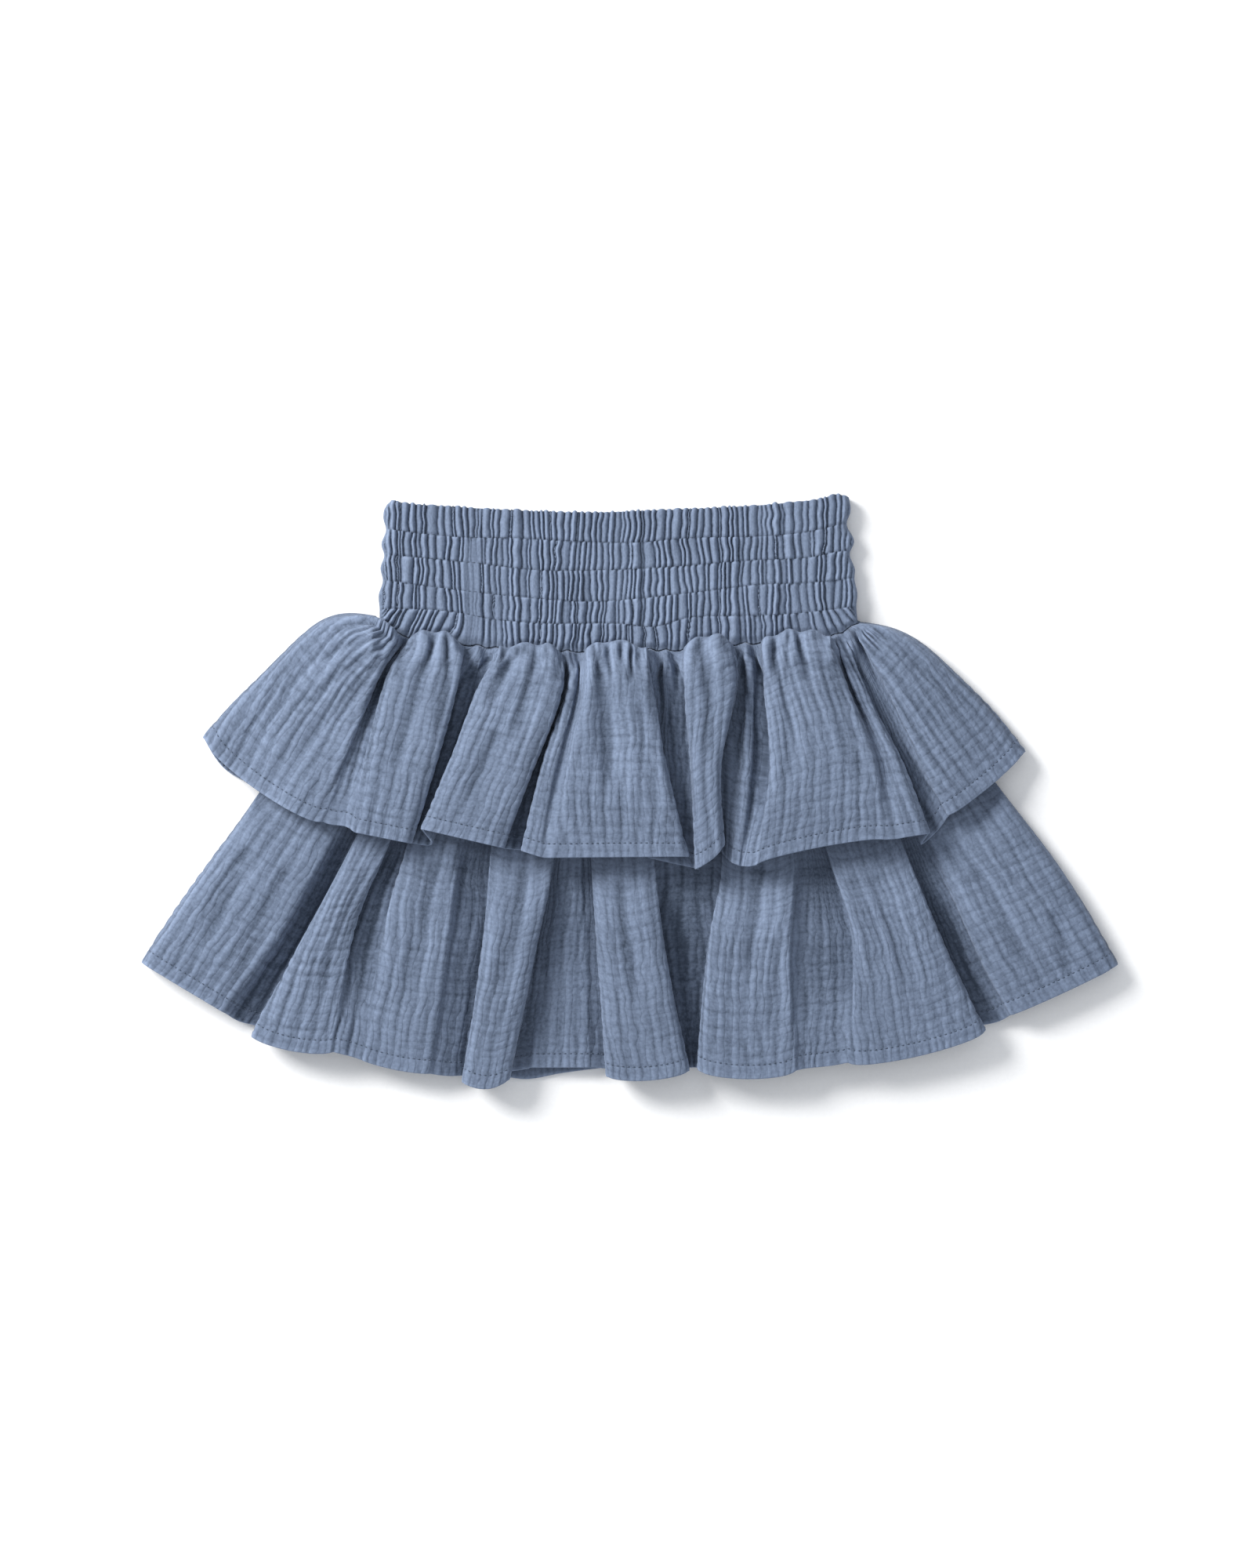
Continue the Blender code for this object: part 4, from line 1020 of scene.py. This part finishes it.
def band_grid(front):
    """Plan points of the band, how far each is from a rolled end (1 is past it), and each
    row's place: whole numbers are the waist seam, the rows of elastic and the top edge."""
    turned = SIDE_TURN * (1.0 - np.cos(np.linspace(0, np.pi / 2, TURN_COLUMNS)))
    place = np.linspace(0, BANDS, BANDS * BAND_ROWS + 1)
    ends = np.linspace(-110, 100, 106)
    lines = [(seam_at if front else plain_seam)(ends)]
    lines += [line_at(row, ends) for row in ELASTIC_ROWS]
    lines.append(line_at(TOP_LINE, ends))
    lines = np.array(lines)
    heights = np.stack([np.interp(place, np.arange(BANDS + 1), line) for line in lines.T])
    y_left, y_right = heights[0], heights[-1]
    x_left = line_at(BAND_LEFT, y_left)
    x_right = line_at(BAND_RIGHT, y_right)
    inner_share = np.linspace(0, 1, BAND_COLUMNS)[1:-1]
    x_inner = (x_left + SIDE_TURN) + (x_right - x_left - 2 * SIDE_TURN) * inner_share[:, None]
    x = np.concatenate([x_left + turned[:, None], x_inner, x_right - turned[::-1, None]])
    y = np.stack([np.interp(x[:, k], ends, heights[:, k]) for k in range(len(place))], axis=1)
    turn = np.clip(np.minimum(x - x_left, x_right - x) / SIDE_TURN, 0.0, 1.0)
    return x, y, turn, place


def pleats(x, y, place, seed):
    """Relief of the pleats: in each band the size of a sine of the pleat number, to a power
    that makes round ribs and sharp grooves, lower at the rows of elastic. The cloth is flatter
    in the strip left of the band's own seam, which leans a little."""
    chance = np.random.default_rng(seed)
    relief = np.zeros_like(x)
    widths = PLEAT * (1.0 + 0.5 * chance.uniform(-1, 1, PLEATS))
    through_bounds = FIRST_PLEAT + running(widths)
    through_factor = chance.uniform(0.5, 1.1, PLEATS + SPARE)
    for band in range(BANDS):
        first, last = band == 0, band == BANDS - 1
        rows = (place >= band) & ((place < band + 1) | last)
        part_x, part_y = x[:, rows], y[:, rows]
        share = (place[rows] - band)[None, :]
        bounds = through_bounds + 0.4 * PLEAT * chance.uniform(-1, 1, PLEATS + 1)
        factor = through_factor + chance.uniform(-0.2, 0.2, PLEATS + SPARE)
        lean = 1.3 * mottle(part_x / 13, 0 * part_x + band, seed + band)
        if first:
            lean = lean + 5.5 * smooth((-58 - part_x) / 38) - 6.0 * smooth((part_x - 55) / 38)
        wander = (0.5 * mottle(part_x / 6, part_y / 4, seed + 9)
                  + 0.16 * mottle(part_x / 2, part_y / 3, seed + 10))
        number = np.interp(part_x - lean * (share - 0.5) + wander, bounds, np.arange(len(bounds)))
        rib = np.abs(np.sin(np.pi * number)) ** 0.62
        near_row = np.minimum(share + 9.0 * first, 1.0 - share + 9.0 * last)
        full = smooth(near_row / 0.09)
        height = factor[number.astype(int)] * (0.85 + 0.15 * full)
        relief[:, rows] = 2.3 * rib * height - 1.25 - 0.12 * np.exp(-(near_row / 0.03) ** 2)
    beside = x - (PANEL_SEAM + 0.02 * (90 - y))
    strip = smooth((beside + 9.0) / 2.0) * smooth((-0.8 - beside) / 1.2) * smooth((112 - y) / 5)
    relief = relief * (1 - 0.72 * strip) + 0.12 * strip
    return relief - 0.8 * np.exp(-(beside / 0.5) ** 2) * smooth((118 - y) / 6)


def band_cloth(name, front, seed):
    """One side of the band: pleated outside, plain inside, rolled at both ends. Returns the
    piece and its outer grid with rows from the waist seam up."""
    x, y, turn, place = band_grid(front)
    round_off = np.sqrt(np.maximum(1.0 - (1.0 - turn) ** 2, 0.0))
    if front:
        relief = pleats(x, y, place, seed)
        y = y + np.maximum(0.5 * relief * smooth((place - 4.6) / 0.4), -0.2)
        under_heads = 1.0 - smooth(place / 0.35)
        relief = relief * (1.0 - 0.6 * under_heads) - under_heads
    else:
        relief = np.minimum(0.7 * pleats(-x, y, place, seed) - 0.35, 0.0)
    relief = relief * smooth(turn * 1.5)
    wall = BAND_WALL * (1.0 - 0.4 * (1.0 - turn))
    side = 1.0 if front else -1.0
    middle = SIDE_TURN + side * GAP / 2
    outer = np.stack([x, y, middle + side * (BAND_ROUND * round_off + relief)], axis=2)
    inner_x = x + np.where(x < 0, 1.0, -1.0) * wall * (1.0 - turn)
    inner_z = middle + side * (BAND_ROUND - BAND_WALL) * round_off
    inner = np.stack([inner_x, y, inner_z], axis=2)
    uv = np.stack([(x + 120.0) * BAND_CUT, y - 50.0], axis=2)
    grids = [outer, inner, uv, relief]
    if front:
        grids = [grid[:, ::-1] for grid in grids]
    piece = shell(name, grids[0], coarse(grids[1]), grids[2], grids[3], 0.0, SHIRRED)
    print(name, len(piece.data.polygons), "faces")
    return piece, outer


band_front, band_front_outer = band_cloth("waistband_front_cloth", True, 5)
band_back, band_back_outer = band_cloth("waistband_back_cloth", False, 6)

# %% [markdown]
# ## Stitches
# A machine stitch is a short thread that dips into the cloth at both ends. One mesh holds a
# whole row: each stitch is a small spindle carried along the line where it lies.

# %% Rows of stitches
# Pitch, length and radius of a stitch.
FRONT_STITCH, BACK_STITCH, ELASTIC_STITCH = (2.4, 1.3, 0.22), (3.0, 2.2, 0.18), (2.5, 1.7, 0.17)
CLEAR = 14  # columns at a rolled end that the elastic's stitches leave out


def hem_line(cloth):
    """A hem's stitches: where each column is HEM_STITCH from the edge, and the way out there."""
    v, pick = cloth.v, np.arange(len(cloth.v))
    before = np.clip((v > HEM_STITCH).sum(1) - 1, 0, v.shape[1] - 2)
    share = (v[pick, before] - HEM_STITCH) / (v[pick, before] - v[pick, before + 1])
    share = np.clip(share, 0, 1)[:, None]
    points = cloth.outer[pick, before] * (1 - share) + cloth.outer[pick, before + 1] * share
    up = cloth.normal[pick, before]
    return points + up * 0.05, up


def elastic_lines(outer, up):
    """The four rows of elastic on one side of the band, clear of its rolled ends."""
    rows = [outer[CLEAR:-CLEAR, row * BAND_ROWS] for row in range(1, BANDS)]
    return [(points, np.zeros_like(points) + up) for points in rows]


def stitches(name, lines, pitch, length, radius):
    """Spindles of six sides along the lines: five rings each, their radius and height those
    of a half sine, so that the ends dip into the cloth."""
    rings, sides = 5, 6
    all_points, all_faces, count = [], [], 0
    for points, up in lines:
        walked = running(spans(points))
        starts = np.arange(pitch / 2, walked[-1] - length, pitch)
        at = starts[:, None] + np.linspace(0, length, rings)[None, :]
        centre = np.stack([np.interp(at, walked, points[:, k]) for k in range(3)], axis=2)
        raised = unit(np.stack([np.interp(at, walked, up[:, k]) for k in range(3)], axis=2))
        along = unit(centre[:, -1:] - centre[:, :1]) * np.ones((1, rings, 1))
        side = unit(np.cross(along, raised))
        swell = np.sin(np.pi * np.linspace(0.06, 0.94, rings))[None, :, None]
        centre = centre + raised * (radius * (1.3 * swell - 0.5))
        angle = np.linspace(0, 2 * np.pi, sides, endpoint=False)[:, None]
        ring = (np.cos(angle) * side[:, :, None] + np.sin(angle) * raised[:, :, None])
        body = centre[:, :, None] + radius * (0.35 + 0.65 * swell[:, :, None]) * ring
        n = len(starts)
        ids = count + np.arange(n * rings * sides).reshape(n, rings, sides)
        nxt = np.roll(ids, -1, axis=2)
        tube = np.stack([ids[:, :-1], nxt[:, :-1], nxt[:, 1:], ids[:, 1:]], axis=-1).reshape(-1, 4)
        all_points.append(body.reshape(-1, 3))
        all_faces += tube.tolist() + ids[:, 0, ::-1].tolist() + ids[:, -1].tolist()
        count += n * rings * sides
    return put_mesh(name, np.concatenate(all_points), all_faces, THREAD)


threads = {}
for solid, name, lines, stitch in (
        ("upper_ruffle_front", "upper_front_hem_stitches", [hem_line(upper_front)], FRONT_STITCH),
        ("lower_tier_front", "lower_front_hem_stitches", [hem_line(lower_front)], FRONT_STITCH),
        ("upper_ruffle_back", "upper_back_hem_stitches", [hem_line(upper_back)], BACK_STITCH),
        ("lower_tier_back", "lower_back_hem_stitches", [hem_line(lower_back)], BACK_STITCH),
        ("waistband_front", "elastic_stitches_front",
         elastic_lines(band_front_outer, (0, 0, 1)), ELASTIC_STITCH),
        ("waistband_back", "elastic_stitches_back",
         elastic_lines(band_back_outer, (0, 0, -1)), ELASTIC_STITCH)):
    threads[solid] = stitches(name, lines, *stitch)
print("stitch meshes:", len(threads))

# %% [markdown]
# ## What stands for what
# Every piece of cloth replaces the solid of the same name and rides on the one body; the flat size
# of its cloth is printed, with its shown area as a share of it. The stitches go with their cloth.

# %% Frame calls
CUTS = {
    "waistband_front": (band_front, (0.25, 0.070), "stretched", ["waistband_back"]),
    "waistband_back": (band_back, (0.23, 0.070), "stretched", []),
    "upper_ruffle_front": (upper_front.piece, (0.47, 0.112), "gathered", ["lower_tier_front"]),
    "upper_ruffle_back": (upper_back.piece, (0.36, 0.100), "gathered", []),
    "lower_tier_front": (lower_front.piece, (0.50, 0.195), "gathered", ["lower_tier_back"]),
    "lower_tier_back": (lower_back.piece, (0.42, 0.19), "gathered", ["upper_ruffle_back"]),
}
for node_name, (piece, cut, held, under) in CUTS.items():
    thread = threads[node_name]
    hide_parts(node_name)
    for item in (piece, thread):
        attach(item, "root")
    shown = sum(face.area for face in piece.data.polygons) / 2
    print(node_name, "cut", cut, "shown", round(shown / (cut[0] * cut[1]), 2))

# %% [markdown]
# ## Floor, light and camera
# A cut-out on white: a pale floor, and a large soft light from the upper left, so that every
# fold's head is bright and its hem side is shaded. The camera looks straight down.

# %% Floor


def floor_sheet(size, height):
    """A square in the plane of the surface."""
    corners = np.array(((-size, -size), (size, -size), (size, size), (-size, size)), float)
    mesh = bpy.data.meshes.new("floor")
    mesh.from_pydata([(x, y, height) for x, y in corners], [], [(0, 1, 2, 3)])
    mesh.materials.append(plain_material("floor_white", (0.88, 0.88, 0.885, 1), 0.9))
    return put("floor", mesh)


floor_sheet(6.0, -0.0006)


def soft_light(name, place, size, power, colour):
    """A square area light at place that faces the skirt."""
    data = bpy.data.lights.new(name, "AREA")
    data.shape, data.size = "SQUARE", size
    data.energy, data.color = power, colour
    lamp = put(name, data)
    lamp.location = place
    lamp.rotation_mode = "QUATERNION"
    lamp.rotation_quaternion = (-Vector(place)).to_track_quat("-Z", "Y")


soft_light("key", (-1.8, 1.3, 1.3), 1.1, 105.0, (1.0, 0.99, 0.97))

world = bpy.data.worlds.new("pale_room")
bpy.context.scene.world = world
world.use_nodes = True
background = world.node_tree.nodes["Background"].inputs
background["Color"].default_value = (0.93, 0.96, 1.0, 1.0)
background["Strength"].default_value = 0.72
bpy.context.scene.view_settings.view_transform = "Standard"

# %% Camera
DISTANCE = 3.0
SENSOR = 36.0
IMAGE_HEIGHT = 2000 * 0.34 * MM  # the whole frame's height on the floor
IMAGE_MIDDLE = (-1.19 * MM, 2.89 * MM)  # what the camera looks down on
camera_data = bpy.data.cameras.new("above")
camera_data.sensor_fit = "AUTO"
camera_data.sensor_width = SENSOR
camera_data.lens = SENSOR * DISTANCE / IMAGE_HEIGHT
camera = put("above", camera_data)
camera.location = (*IMAGE_MIDDLE, DISTANCE)
bpy.context.scene.camera = camera
print("camera", round(camera_data.lens, 1), "mm lens at", DISTANCE, "m")
